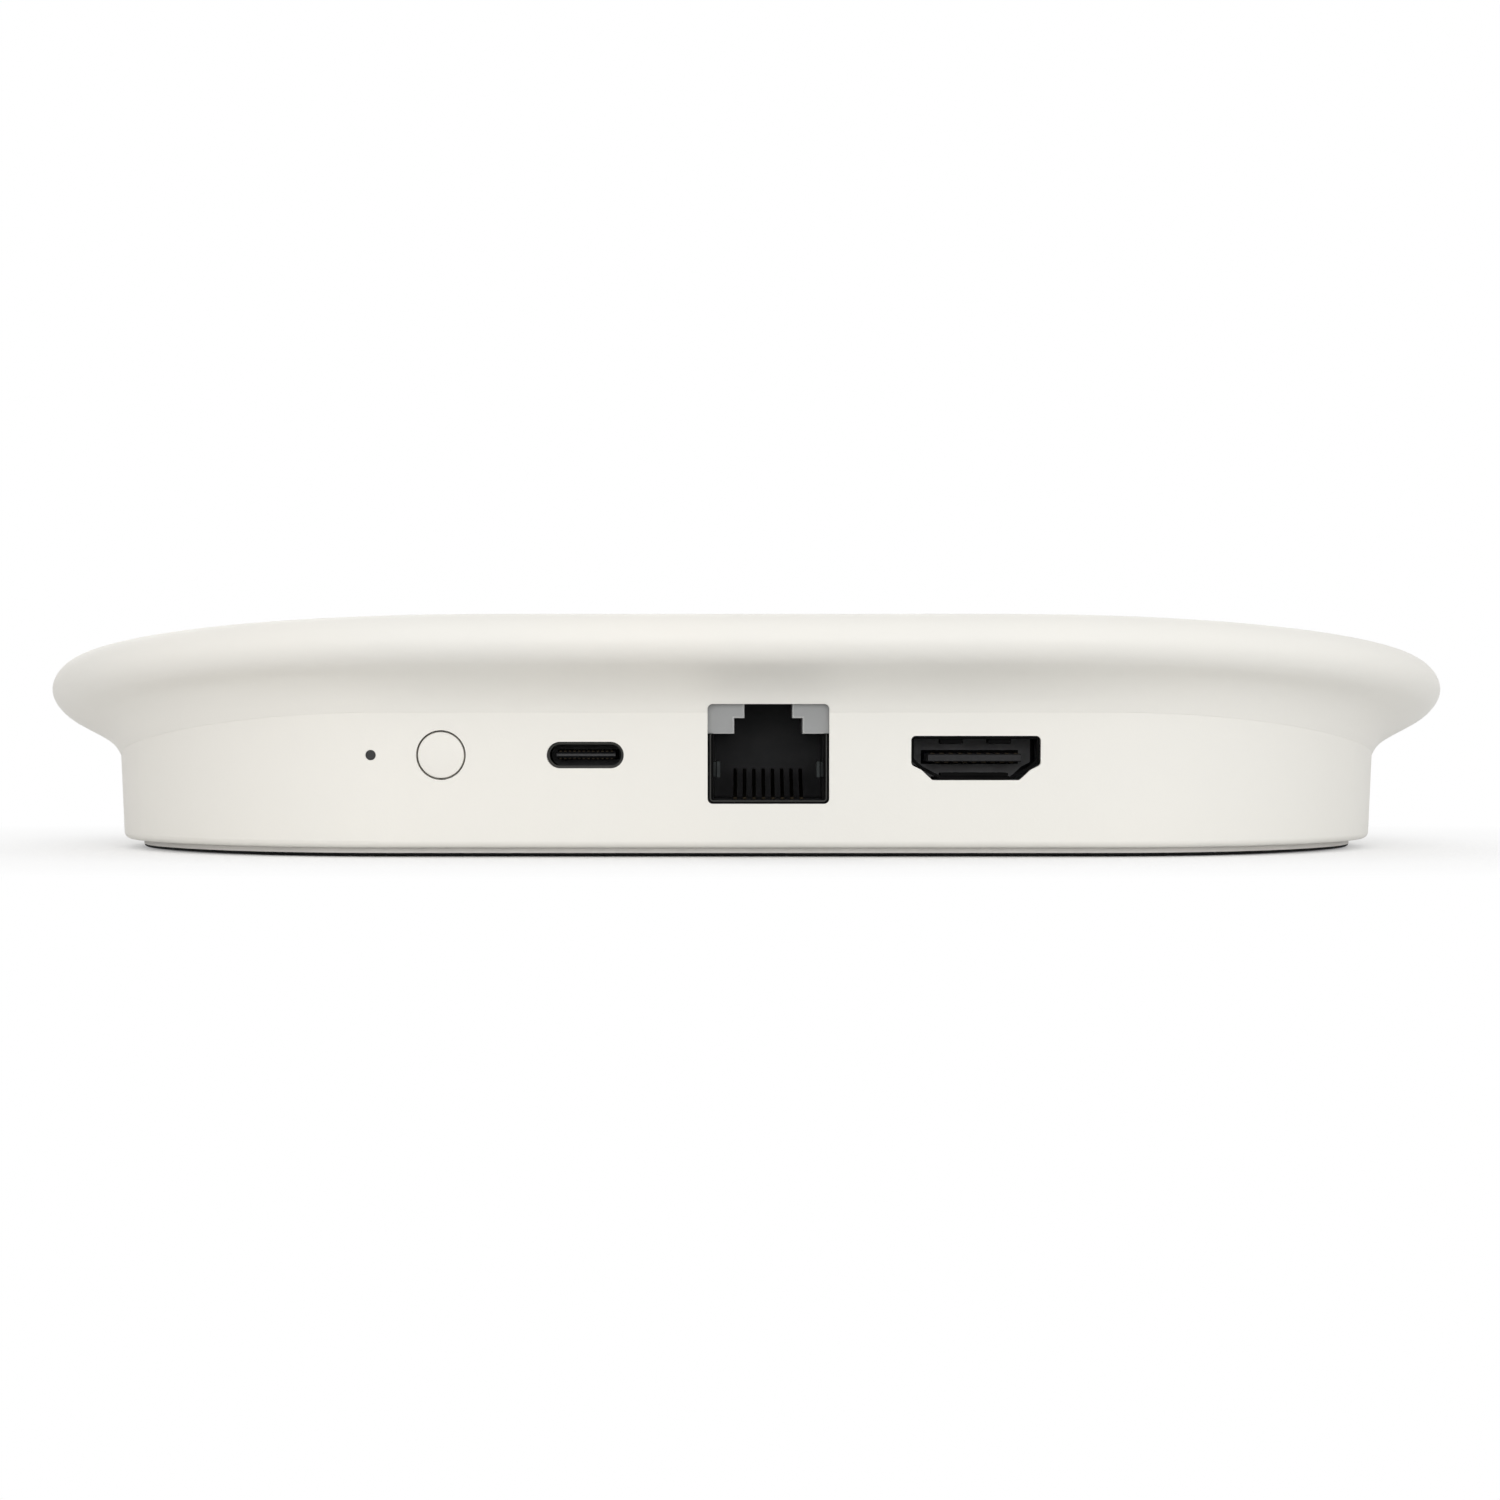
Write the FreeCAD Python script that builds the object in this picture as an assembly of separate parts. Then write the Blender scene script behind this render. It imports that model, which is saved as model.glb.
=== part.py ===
import FreeCAD, Part
import math
import os

os.makedirs("parts", exist_ok=True)

# A media streaming box: a tilted oval disc over a smaller oval base with ports in its wall.
# Millimetres. +X right, -Y the port wall, +Z up, origin on the surface it stands on.

# How finely the cover's surface is sampled, and how far a cut runs past what it cuts
straight_steps = 3
side_steps = 14
neck_shares = (1.0, 0.86, 0.72, 0.56, 0.38, 0.18)
lip_shares = (1.0, 0.72, 0.36)
edge_steps = 6
settling_rounds = 8
beyond = 5.0
near = 0.01

# Cover disc, measured in its own tilted plane
cover_length = 162.0
cover_depth = 76.0
overall_height = 25.7
cover_tilt = 9.1
cover_straight = 53.2
edge_height = 3.0
edge_width = 3.2
edge_fullness = 1.87
cover_skin = 2.0

# Lip under the rim and neck down to the base: at the ends, the port side and the rear
lip_width = 2.8
lip_drop_end = 3.3
lip_drop_port = 2.6
under_slope_end = 26.0
under_slope_port = 10.0
under_slope_rear = 20.0
neck_slope = 65.0
neck_tightness_end = 1.8
neck_tightness_port = 1.0
lip_core = 2.6
lip_weight = 0.85
cavity_floor_inset = 5.2
cavity_floor_drop = 1.2

# Base, at its bottom edge
base_length = 145.6
base_depth = 57.6
base_side_radius = 37.4
base_end_radius = 23.1
base_draft = 2.35
base_bottom_z = 0.96
base_edge_round = 0.8
base_wall = 1.9
base_floor = 2.0

# Height of the crease between neck and wall: port side, middle and front
crease_port_z = 15.42
crease_middle_z = 9.75
crease_front_z = 6.0

# Spigot of the cover inside the base
spigot_drop = 2.2
spigot_gap = 0.1
spigot_wall = 1.2
parting_gap = 0.01

# Foot pad
pad_margin = 2.2
pad_recess = 0.4
pad_gap = 0.1
pad_rib_round = 0.4

# Port wall
port_height = 10.9
port_lip = 0.7
port_gap = 0.12

# HDMI socket
hdmi_x = 24.5
hdmi_z = 10.58
hdmi_half_width = 6.92
hdmi_half_height = 2.37
hdmi_shoulder_drop = 0.72
hdmi_step_x = 5.85
hdmi_step_drop = 1.25
hdmi_foot_x = 4.65
hdmi_corner = 0.5
hdmi_sheet = 0.3
hdmi_depth = 11.0
hdmi_tongue_width = 10.0
hdmi_tongue_thickness = 0.85
hdmi_tongue_setback = 1.0
hdmi_block_depth = 3.6
hdmi_pitch = 1.0
hdmi_contact_width = 0.45
hdmi_spring_x = 3.6
hdmi_spring_width = 1.9
hdmi_spring_length = 3.2
hdmi_spring_bend = 0.35
hdmi_tip_flare = 0.18
hdmi_contact_count = 10
foot_size = 0.8
contact_thickness = 0.08
tail_thickness = 0.15
tail_reach = 1.2

# USB-C socket
usb_x = -17.2
usb_half_width = 4.12
usb_half_height = 1.42
usb_sheet = 0.3
usb_depth = 7.6
usb_tongue_width = 6.3
usb_tongue_thickness = 0.7
usb_tongue_setback = 0.8
usb_block_depth = 2.2
usb_pitch = 0.5
usb_contact_width = 0.25
usb_cheek = 1.1
usb_contact_count = 12

# Ethernet jack
jack_x = 2.35
jack_floor_z = 6.1
jack_opening_low_z = 5.68
jack_opening_high_z = 16.35
jack_opening_half = 6.5
jack_opening_corner = 0.55
jack_body_half = 7.45
jack_body_low_z = 4.95
jack_body_high_z = 17.0
jack_depth = 15.5
jack_plug_half = 5.9
jack_plug_high_z = 13.18
jack_step_half = 3.67
jack_step_high_z = 14.85
jack_latch_half = 2.57
jack_latch_high_z = 16.5
jack_plug_depth = 11.5
jack_sheet = 0.3
jack_window_side = 6.75
jack_window_high_z = 16.55
jack_window_depth = 10.0
jack_tab_low_z = 8.5
jack_tab_high_z = 10.2
jack_tab_reach = 0.7
jack_tab_start = 0.6
jack_tab_length = 3.2
jack_pitch = 1.02
jack_contact_width = 0.42
jack_contact_thickness = 0.25
jack_contact_start = 1.1
jack_contact_bend = 2.2
jack_contact_end = 9.0
jack_contact_high_z = 9.65
jack_contact_count = 8

# Push button and its switch
button_x = -32.6
button_hole_radius = 2.66
button_gap = 0.2
button_flange_radius = 3.4
button_flange_half_height = 2.6
button_flange_thickness = 0.8
button_flange_rest = 0.05
button_stem_radius = 1.1
button_guide_wall = 0.8
button_guide_gap = 0.08
button_guide_half_height = 2.75
button_stem_length = 1.85
button_guide_length = 2.0
switch_width = 6.0
switch_body_depth = 3.4
switch_plunger_radius = 0.8
switch_plunger_length = 1.3
switch_dome_radius = 1.7
switch_dome_thickness = 0.15
switch_dome_gap = 0.05
switch_dome_rise = 0.45
switch_bore_gap = 0.05
switch_front_wall = 0.5
switch_chamber_depth = 1.2
switch_chamber_radius = 1.9
switch_half_height = 2.6

# Status light
light_x = -40.1
light_radius = 0.53
light_gap = 0.03
light_flange_radius = 1.3
light_flange_thickness = 0.8
light_run = 5.5
light_pipe_radius = 0.9
led_size = 1.6
led_height = 0.7

# Main board
board_top_z = 7.6
board_thickness = 1.2
board_margin = 0.5
board_end_setback = 7.0
board_cut_gap = 0.4
rear_screws_setback = 5.0
rear_screws_inset = 16.8
front_screws_setback = 7.0
front_screws_inset = 6.0

# Screws and their posts
screw_radius = 1.0
screw_head_radius = 1.9
screw_head_height = 1.1
screw_gap = 0.03
board_screw_bite = 2.9
screw_clear = 0.2
post_radius = 2.6
boss_radius = 2.75
seat_post_radius = 3.2
boss_low_z = 5.0
boss_gap = 0.05
housing_screw_length = 9.0
end_boss_inset = 9.3
end_boss_y = -3.0
front_boss_x = 30.0
front_boss_inset = 5.6
cross_width = 0.35
cross_length = 2.0
cross_depth = 0.5

# Ballast plate and insulator under the board
ballast_thickness = 1.2
ballast_margin = 3.0
ballast_end_setback = 5.0
ballast_gap = 0.3
insulator_thickness = 0.25
insulator_margin = 1.0

# Shield, chips, pads and heat spreader
shield_x = 20.0
shield_y = 6.5
shield_half_length = 21.0
shield_half_width = 10.5
shield_sheet = 0.25
shield_height = 2.4
shield_corner = 1.0
lid_skirt = 1.2
lid_gap = 0.04
processor_size = 14.0
processor_thickness = 1.3
memory_length = 9.0
memory_width = 8.0
memory_count = 2
memory_pitch = 10.2
memory_thickness = 1.0
storage_length = 11.5
storage_width = 9.0
storage_thickness = 1.0
chip_gap = 2.0
wireless_x = -27.0
wireless_y = 4.5
wireless_size = 13.0
wireless_chip_size = 8.0
wireless_height = 2.0
spreader_low_z = 11.4
spreader_thickness = 1.2
spreader_margin = 2.0
spreader_rear_margin = 3.0
spreader_corner = 4.0
spreader_notch_gap = 1.2
spreader_rib_height = 1.5
spreader_rib_thickness = 1.2
spreader_rib_pitch = 5.0
spreader_rib_count = 4

# Small components
transformer_length = 12.6
transformer_width = 6.6
transformer_height = 3.2
transformer_gap = 1.0
ethernet_chip_size = 5.0
ethernet_chip_x = -20.0
small_chip_height = 0.9
chip_edge = 0.12
chip_dot_inset = 0.8
chip_dot_radius = 0.3
chip_dot_depth = 0.08
pad_inset = 1.0
pad_corner = 0.6
transformer_lead_count = 8
transformer_lead_pitch = 1.4
lead_reach = 1.0
lead_width = 0.3
power_chip_size = 4.0
power_chip_x = -15.0
power_chip_y = 3.0
inductor_size = 4.0
inductor_height = 2.0
inductor_pitch = 5.2
inductor_x = -12.0
inductor_front_gap = 7.0
inductor_count = 3
capacitor_length = 1.6
capacitor_width = 0.8
capacitor_height = 0.8
capacitor_pitch = 2.4
capacitor_count = 10
capacitor_x = -44.0
capacitor_front_gap = 24.0
capacitor_rows = 2
crystal_length = 3.2
crystal_width = 2.5
crystal_height = 0.8
crystal_x = 45.5
crystal_y = 4.0

# Antennas, stamped from sheet
antenna_sheet = 0.3
antenna_height = 6.0
antenna_length = 14.0
antenna_foot = 1.2
antenna_slot = 0.8
antenna_edge_gap = 0.9
antenna_slots = 3
front_antenna_x = -28.0


def box(low_x, high_x, low_y, high_y, low_z, high_z):
    corner = FreeCAD.Vector(low_x, low_y, low_z)
    return Part.makeBox(high_x - low_x, high_y - low_y, high_z - low_z, corner)


def post(x, y, radius, low_z, high_z):
    return Part.makeCylinder(radius, high_z - low_z, FreeCAD.Vector(x, y, low_z))


def rod(x, z, radius, low_y, high_y):
    base = FreeCAD.Vector(x, low_y, z)
    return Part.makeCylinder(radius, high_y - low_y, base, FreeCAD.Vector(0, 1, 0))


def joined(shapes):
    return shapes[0].multiFuse(shapes[1:]).removeSplitter()


def rounded_outline(corners, y):
    """Closed wire in the plane y, through (x, z, radius) corners, each rounded by its radius."""
    edges = []
    ends = []
    for index, (x, z, radius) in enumerate(corners):
        before = corners[index - 1]
        after = corners[(index + 1) % len(corners)]
        point = FreeCAD.Vector(x, y, z)
        back = (FreeCAD.Vector(before[0], y, before[1]) - point).normalize()
        ahead = (FreeCAD.Vector(after[0], y, after[1]) - point).normalize()
        half = back.getAngle(ahead) / 2
        middle_way = (back + ahead).normalize()
        start = point + back * (radius / math.tan(half))
        stop = point + ahead * (radius / math.tan(half))
        middle = point + middle_way * (radius / math.sin(half) - radius)
        edges.append(Part.Arc(start, middle, stop).toShape())
        ends.append((start, stop))
    for index, (start, stop) in enumerate(ends):
        edges.append(Part.LineSegment(stop, ends[(index + 1) % len(ends)][0]).toShape())
    return Part.Wire(Part.__sortEdges__(edges))


def prism(wire, depth):
    return Part.Face(wire).extrude(FreeCAD.Vector(0, depth, 0))


def grown(wire, distance):
    return wire.makeOffset2D(distance) if distance else wire


class Oval:
    """An oval with two straight sides, wide side arcs and tighter end arcs."""

    def __init__(self, length, depth, side_radius, end_radius):
        self.half_length = length / 2
        self.half_depth = depth / 2
        self.side_radius = side_radius
        self.end_radius = end_radius
        spread = side_radius - end_radius
        self.turn = math.asin((side_radius - self.half_depth) / spread)
        self.flat = self.half_length - end_radius - spread * math.cos(self.turn)

    def corner_point(self, angle, inset):
        """Point of the first quadrant whose outward normal has this angle."""
        if angle < self.turn:
            centre = (self.half_length - self.end_radius, 0.0)
            radius = self.end_radius - inset
        else:
            centre = (self.flat, self.half_depth - self.side_radius)
            radius = self.side_radius - inset
        return centre[0] + radius * math.cos(angle), centre[1] + radius * math.sin(angle)

    def distance(self, x, v):
        """How far a point lies outside the outline (negative is inside)."""
        along, across = abs(x) - self.flat, abs(v) + self.side_radius - self.half_depth
        if along <= 0.0:
            return abs(v) - self.half_depth
        if math.atan2(across, along) >= self.turn:
            return math.hypot(along, across) - self.side_radius
        return math.hypot(abs(x) - self.half_length + self.end_radius, v) - self.end_radius

    def wire(self, inset, place):
        """Exact outline of lines and arcs, inset, with place(x, v) giving each point."""
        right = math.pi / 2
        stops = [0.0, self.turn / 2, self.turn, (self.turn + right) / 2, right]
        quarter = [self.corner_point(angle, inset) for angle in stops]
        quadrants = [
            quarter,
            [(-x, v) for x, v in reversed(quarter)],
            [(-x, -v) for x, v in quarter],
            [(x, -v) for x, v in reversed(quarter)],
        ]
        edges = []
        for index, quadrant in enumerate(quadrants):
            points = [place(x, v) for x, v in quadrant]
            edges.append(Part.Arc(points[0], points[1], points[2]).toShape())
            edges.append(Part.Arc(points[2], points[3], points[4]).toShape())
            start = quadrants[(index + 1) % 4][0]
            if index % 2 == 0:
                edges.append(Part.LineSegment(points[4], place(*start)).toShape())
        return Part.Wire(edges)


class SoftOval:
    """An oval with two straight sides and elliptical ends, whose curve tightens smoothly."""

    def __init__(self, length, depth, straight):
        self.half_length = length / 2
        self.half_depth = depth / 2
        self.flat = straight / 2

    def corner_point(self, angle, inset):
        """Point of the first quadrant whose outward normal has this angle."""
        reach = self.half_length - self.flat
        turn = math.atan2(self.half_depth * math.sin(angle), reach * math.cos(angle))
        x = self.flat + reach * math.cos(turn) - inset * math.cos(angle)
        return x, self.half_depth * math.sin(turn) - inset * math.sin(angle)


tilt = math.radians(cover_tilt)
draft = math.tan(math.radians(base_draft))
cover_oval = SoftOval(cover_length, cover_depth / math.cos(tilt), cover_straight)
base_oval = Oval(base_length, base_depth, base_side_radius, base_end_radius)
edge_run = cover_oval.half_depth - edge_width
rim_z = overall_height - edge_run * math.sin(tilt) - edge_height * math.cos(tilt)
floor_top_z = base_bottom_z + base_floor
board_low_z = board_top_z - board_thickness
screw_seat_z = floor_top_z


def base_inset(z):
    """How far the drafted wall at height z lies inside the bottom outline (negative is outside)."""
    return -(z - base_bottom_z) * draft


wall_face_y = -(base_oval.half_depth - base_inset(port_height))
pocket_y = wall_face_y + port_lip
socket_y = pocket_y + port_gap / 2
wall_inner_y = wall_face_y + base_wall
flange_y = wall_inner_y + button_flange_rest
flange_back_y = flange_y + button_flange_thickness
plunger_y = flange_back_y + button_stem_length
switch_y = plunger_y + switch_plunger_length
chamber_y = switch_y + switch_front_wall
chamber_back_y = chamber_y + switch_chamber_depth
dome_y = chamber_back_y - switch_dome_rise
end_boss_x = base_oval.half_length - end_boss_inset
front_boss_y = base_oval.half_depth - front_boss_inset
board_half_length = end_boss_x - board_end_setback
board_front_y = front_boss_y - seat_post_radius
rear_screws_y = rear_screws_inset - base_oval.half_depth
front_screws_y = board_front_y - front_screws_inset
ballast_half_length = end_boss_x - ballast_end_setback
spreader_half_length = board_half_length - spreader_margin
spreader_rear_y = rear_screws_y - spreader_rear_margin
spreader_front_y = board_front_y - spreader_margin
transformer_x = shield_x - shield_half_length - transformer_gap - transformer_length / 2
transformer_y = pocket_y + jack_depth + jack_sheet + transformer_gap + lead_reach + transformer_width / 2
inductor_y = board_front_y - inductor_front_gap
capacitor_y = board_front_y - capacitor_front_gap


def tilted(x, v, w):
    """World point of the cover's frame: v towards the port side, w up from the rim."""
    y = -(v * math.cos(tilt) - w * math.sin(tilt))
    return FreeCAD.Vector(x, y, rim_z + v * math.sin(tilt) + w * math.cos(tilt))


def crease_circle():
    """Centre (y, z) and radius of the arc that the crease follows, seen from the end."""
    reach = base_oval.half_depth - base_inset(crease_middle_z)
    port = FreeCAD.Vector(-reach, crease_port_z, 0)
    middle = FreeCAD.Vector(0, crease_middle_z, 0)
    front = FreeCAD.Vector(reach, crease_front_z, 0)
    circle = Part.Arc(port, middle, front).toShape().Curve
    return circle.Center.x, circle.Center.y, circle.Radius


crease_y, crease_z, crease_radius = crease_circle()


def crease_height(y):
    return crease_z - math.sqrt(crease_radius ** 2 - (y - crease_y) ** 2)


def crease_block(low_z):
    """Everything under the crease arc, down to low_z."""
    reach = cover_depth
    start = FreeCAD.Vector(0, -reach, crease_height(-reach))
    middle = FreeCAD.Vector(0, 0, crease_height(0))
    stop = FreeCAD.Vector(0, reach, crease_height(reach))
    low_stop = FreeCAD.Vector(0, reach, low_z)
    low_start = FreeCAD.Vector(0, -reach, low_z)
    edges = [
        Part.Arc(start, middle, stop).toShape(),
        Part.LineSegment(stop, low_stop).toShape(),
        Part.LineSegment(low_stop, low_start).toShape(),
        Part.LineSegment(low_start, start).toShape(),
    ]
    block = Part.Face(Part.Wire(edges)).extrude(FreeCAD.Vector(2 * cover_length, 0, 0))
    block.translate(FreeCAD.Vector(-cover_length, 0, -parting_gap))
    return block


def drafted_oval(inset, low_z, high_z):
    """Solid with the base's drafted outline, inset, between two heights."""
    low = base_oval.wire(inset + base_inset(low_z), lambda x, v: FreeCAD.Vector(x, v, low_z))
    high = base_oval.wire(inset + base_inset(high_z), lambda x, v: FreeCAD.Vector(x, v, high_z))
    return Part.makeLoft([low, high], True, True)


def stations():
    """Where the rings are sampled, all the way round from the front: quadrant signs and place."""
    right = math.pi / 2
    quarter = [("flat", step / straight_steps) for step in range(straight_steps)]
    quarter += [("turn", right * (1 - step / side_steps)) for step in range(side_steps)]
    places = [(1, -1, place) for place in quarter]
    places += [(1, 1, place) for place in [("turn", 0.0)] + quarter[:0:-1]]
    places += [(-1, 1, place) for place in quarter]
    places += [(-1, -1, place) for place in [("turn", 0.0)] + quarter[:0:-1]]
    return places


ring_stations = stations()


def station_point(oval, inset, station):
    sign_x, sign_v, (kind, value) = station
    if kind == "flat":
        return sign_x * value * oval.flat, sign_v * (oval.half_depth - inset)
    x, v = oval.corner_point(value, inset)
    return sign_x * x, sign_v * v


def outward(station):
    """Direction in which the rim faces at a station, in plan."""
    sign_x, sign_v, (kind, value) = station
    if kind == "flat":
        return 0.0, sign_v
    return sign_x * math.cos(value), sign_v * math.sin(value)


def side_share(station, side):
    """0 on the ends, rising smoothly to 1 where the rim faces the port side (1) or the rear (-1)."""
    share = max(side * outward(station)[1], 0.0)
    return share * share * (3 - 2 * share)


def wall_point(station, inset, height):
    """(x, v, z) on the drafted wall, or inset from it, straight inwards from the rim, at z = height(v)."""
    out_x, out_v = outward(station)
    x, v = station_point(cover_oval, 0.0, station)
    for _ in range(settling_rounds):
        over = base_oval.distance(x, v) + inset + base_inset(height(v))
        x, v = x - out_x * over, v - out_v * over
    return x, v, height(v)


def crease_level(v):
    return crease_height(-v)


def spigot_level(v):
    """Flat underside of the cover's spigot, a slanted plane under the crease."""
    middle = (crease_port_z + crease_front_z) / 2 - spigot_drop
    return middle + (crease_port_z - crease_front_z) / base_depth * v


def wall_ring(inset, height):
    places = [wall_point(station, inset, height) for station in ring_stations]
    return [FreeCAD.Vector(x, -v, z) for x, v, z in places]


def conic(start, corner, stop, weight, share):
    """Point of a conic arc from start to stop, pulled towards its corner by weight."""
    parts = ((1 - share) ** 2, 2 * share * (1 - share) * weight, share ** 2)
    total = sum(parts)
    return tuple(sum(p * c for p, c in zip(parts, axis)) / total for axis in zip(start, corner, stop))


def under_profile(station, run, drop, part, share):
    """(inward, down) from the rim on the lip or the neck, for one station."""
    port, rear = side_share(station, 1), side_share(station, -1)
    lip_drop = lip_drop_end + (lip_drop_port - lip_drop_end) * port
    slope = under_slope_end + (under_slope_port - under_slope_end) * port
    slope = math.tan(math.radians(slope + (under_slope_rear - under_slope_end) * rear))
    joint = (lip_width, lip_drop)
    if part == "lip":
        return conic((0.0, 0.0), (0.0, lip_drop - slope * lip_width), joint, lip_weight, share)
    steep = math.tan(math.radians(neck_slope))
    last = (drop - lip_drop - slope * (run - lip_width)) / (steep - slope)
    corner = (run - last, drop - steep * last)
    tightness = neck_tightness_end + (neck_tightness_port - neck_tightness_end) * port
    return conic(joint, corner, (run, drop), tightness, share)


def under_point(station, part, share):
    """World point of the cover's underside."""
    rim_x, rim_v = station_point(cover_oval, 0.0, station)
    x, v, z = wall_point(station, 0.0, crease_level)
    low_v = v * math.cos(tilt) + (z - rim_z) * math.sin(tilt)
    low_w = (z - rim_z) * math.cos(tilt) - v * math.sin(tilt)
    run = math.hypot(rim_x - x, rim_v - low_v)
    inward, down = under_profile(station, run, -low_w, part, share)
    way = inward / run
    return tilted(rim_x + (x - rim_x) * way, rim_v + (low_v - rim_v) * way, -down)


def cover_rings():
    """Closed curves round the outside of the cover, from the crease up to the flat top."""
    rings = []
    for part, shares in (("neck", neck_shares), ("lip", lip_shares)):
        rings += [[under_point(station, part, share) for station in ring_stations] for share in shares]
    for step in range(edge_steps + 1):
        turn = math.pi / 2 * step / edge_steps
        inset = edge_width * (1 - max(math.cos(turn), 0.0) ** (2 / edge_fullness))
        rise = edge_height * math.sin(turn) ** (2 / edge_fullness)
        rings.append(cover_ring(inset, rise))
    return rings


def cover_ring(inset, rise):
    places = [station_point(cover_oval, inset, station) for station in ring_stations]
    return [tilted(x, v, rise) for x, v in places]


def closed_curve(points, parameters):
    curve = Part.BSplineCurve()
    curve.interpolate(Points=points, PeriodicFlag=True, Parameters=parameters)
    return Part.Wire([curve.toShape()])


def ring_parameters():
    """One set of parameters for every ring: distances along the rim."""
    rim = [station_point(cover_oval, 0.0, station) for station in ring_stations]
    steps = [math.dist(here, there) for here, there in zip(rim, rim[1:] + rim[:1])]
    return [sum(steps[:count]) for count in range(len(steps) + 1)]


def cover_form():
    """The cover's outside as a solid: disc, lip, neck, ledge on the base's wall and spigot."""
    parameters = ring_parameters()
    outside = [closed_curve(points, parameters) for points in cover_rings()]
    inset = base_wall + spigot_gap
    ledge = closed_curve(wall_ring(inset, crease_level), parameters)
    bottom = closed_curve(wall_ring(inset, spigot_level), parameters)
    faces = Part.makeLoft(outside, False).Faces
    faces += Part.makeLoft([outside[0], ledge], False, True).Faces
    faces += Part.makeLoft([ledge, bottom], False, True).Faces
    faces += [Part.Face(outside[-1]), Part.Face(bottom)]
    shell = Part.makeShell(faces)
    shell.sewShape()
    return Part.makeSolid(shell)


def slab_under(rise):
    """Everything under the plane that lies rise above the rim."""
    reach = cover_depth
    high_port = tilted(0, reach, rise)
    high_front = tilted(0, -reach, rise)
    low_port = FreeCAD.Vector(0, high_port.y, -reach)
    low_front = FreeCAD.Vector(0, high_front.y, -reach)
    outline = Part.makePolygon([high_port, high_front, low_front, low_port, high_port])
    slab = Part.Face(outline).extrude(FreeCAD.Vector(2 * cover_length, 0, 0))
    slab.translate(FreeCAD.Vector(-cover_length, 0, 0))
    return slab


def cover_cavity():
    """Room inside the disc and down through the neck."""
    levels = [
        (cavity_floor_inset, -cavity_floor_drop),
        (lip_core, 0.0),
        (edge_width, edge_height - cover_skin),
    ]
    parameters = ring_parameters()
    curves = [closed_curve(cover_ring(inset, rise), parameters) for inset, rise in levels]
    disc = Part.makeLoft(curves, True, True)
    neck = drafted_oval(base_wall + spigot_gap + spigot_wall, floor_top_z, overall_height)
    return joined([disc, neck.common(slab_under(edge_height - cover_skin))])


def slot_outline(x, z, half_width, half_height, y):
    """Outline with fully round ends, in the plane y."""
    reach = half_width - half_height
    edges = []
    for side in (1, -1):
        start = FreeCAD.Vector(x + side * reach, y, z + side * half_height)
        middle = FreeCAD.Vector(x + side * half_width, y, z)
        stop = FreeCAD.Vector(x + side * reach, y, z - side * half_height)
        edges.append(Part.Arc(start, middle, stop).toShape())
        across = FreeCAD.Vector(x - side * reach, y, z - side * half_height)
        edges.append(Part.LineSegment(stop, across).toShape())
    return Part.Wire(edges)


def hdmi_outline(y):
    top = hdmi_half_height
    half = [
        (hdmi_half_width, top),
        (hdmi_half_width, -hdmi_shoulder_drop),
        (hdmi_step_x, -hdmi_step_drop),
        (hdmi_foot_x, -top),
    ]
    places = half + [(-x, z) for x, z in reversed(half)]
    return rounded_outline([(hdmi_x + x, hdmi_z + z, hdmi_corner) for x, z in places], y)


def usb_outline(y):
    return slot_outline(usb_x, port_height, usb_half_width, usb_half_height, y)


def jack_outline(y):
    low, high = jack_opening_low_z, jack_opening_high_z
    left, right = jack_x - jack_opening_half, jack_x + jack_opening_half
    places = [(left, high), (right, high), (right, low), (left, low)]
    return rounded_outline([(x, z, jack_opening_corner) for x, z in places], y)


def jack_jacket(grow):
    """Block round the Ethernet jack's body, grown on its sides, top and bottom."""
    half = jack_body_half + grow
    low, high = jack_body_low_z - grow, jack_body_high_z + grow
    return box(jack_x - half, jack_x + half, pocket_y, pocket_y + jack_depth, low, high)


def port_cuts():
    """Openings through the thin lip of the wall, and the pockets behind it."""
    outside_y = wall_face_y - beyond
    reach = pocket_y - outside_y + port_gap
    cuts = [prism(outline(outside_y), reach) for outline in (hdmi_outline, usb_outline, jack_outline)]
    behind = beyond
    cuts.append(prism(grown(hdmi_outline(pocket_y), 2 * port_gap + hdmi_sheet), behind))
    cuts.append(prism(grown(usb_outline(pocket_y), 2 * port_gap + usb_sheet), behind))
    cuts.append(jack_jacket(port_gap + jack_sheet))
    cuts.append(rod(button_x, port_height, button_hole_radius, outside_y, wall_inner_y + port_gap))
    cuts.append(rod(light_x, port_height, light_radius + light_gap, outside_y, wall_inner_y + port_gap))
    return cuts


def mirrored_places(x, y):
    return [(x, y), (-x, y)]


housing_screw_places = mirrored_places(end_boss_x, end_boss_y) + mirrored_places(front_boss_x, front_boss_y)
board_screw_places = mirrored_places(board_half_length - rear_screws_setback, rear_screws_y)
board_screw_places += mirrored_places(board_half_length - front_screws_setback, front_screws_y)
boss_top_z = boss_low_z + housing_screw_length


def top_cover(form):
    shell = form.cut(cover_cavity())
    bosses = [post(x, y, boss_radius, boss_low_z + boss_gap, overall_height) for x, y in housing_screw_places]
    shell = shell.multiFuse([boss.common(form) for boss in bosses])
    holes = [post(x, y, screw_radius + screw_gap, boss_low_z, boss_top_z) for x, y in housing_screw_places]
    return shell.cut(Part.makeCompound(holes + seat_reliefs() + port_cuts() + [button_relief()]))


def seat_reliefs():
    """Room in the cover's spigot for the base's posts under the bosses."""
    radius = seat_post_radius + spigot_gap
    return [post(x, y, radius, 0.0, boss_low_z + boss_gap) for x, y in housing_screw_places]


def base_form():
    """The base's outside, with its bottom edge rounded, before the crease trims it."""
    form = drafted_oval(0.0, base_bottom_z, overall_height)
    rounded = [edge for edge in form.Edges if edge.BoundBox.ZMax < base_bottom_z + near]
    return form.makeFillet(base_edge_round, rounded)


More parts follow.
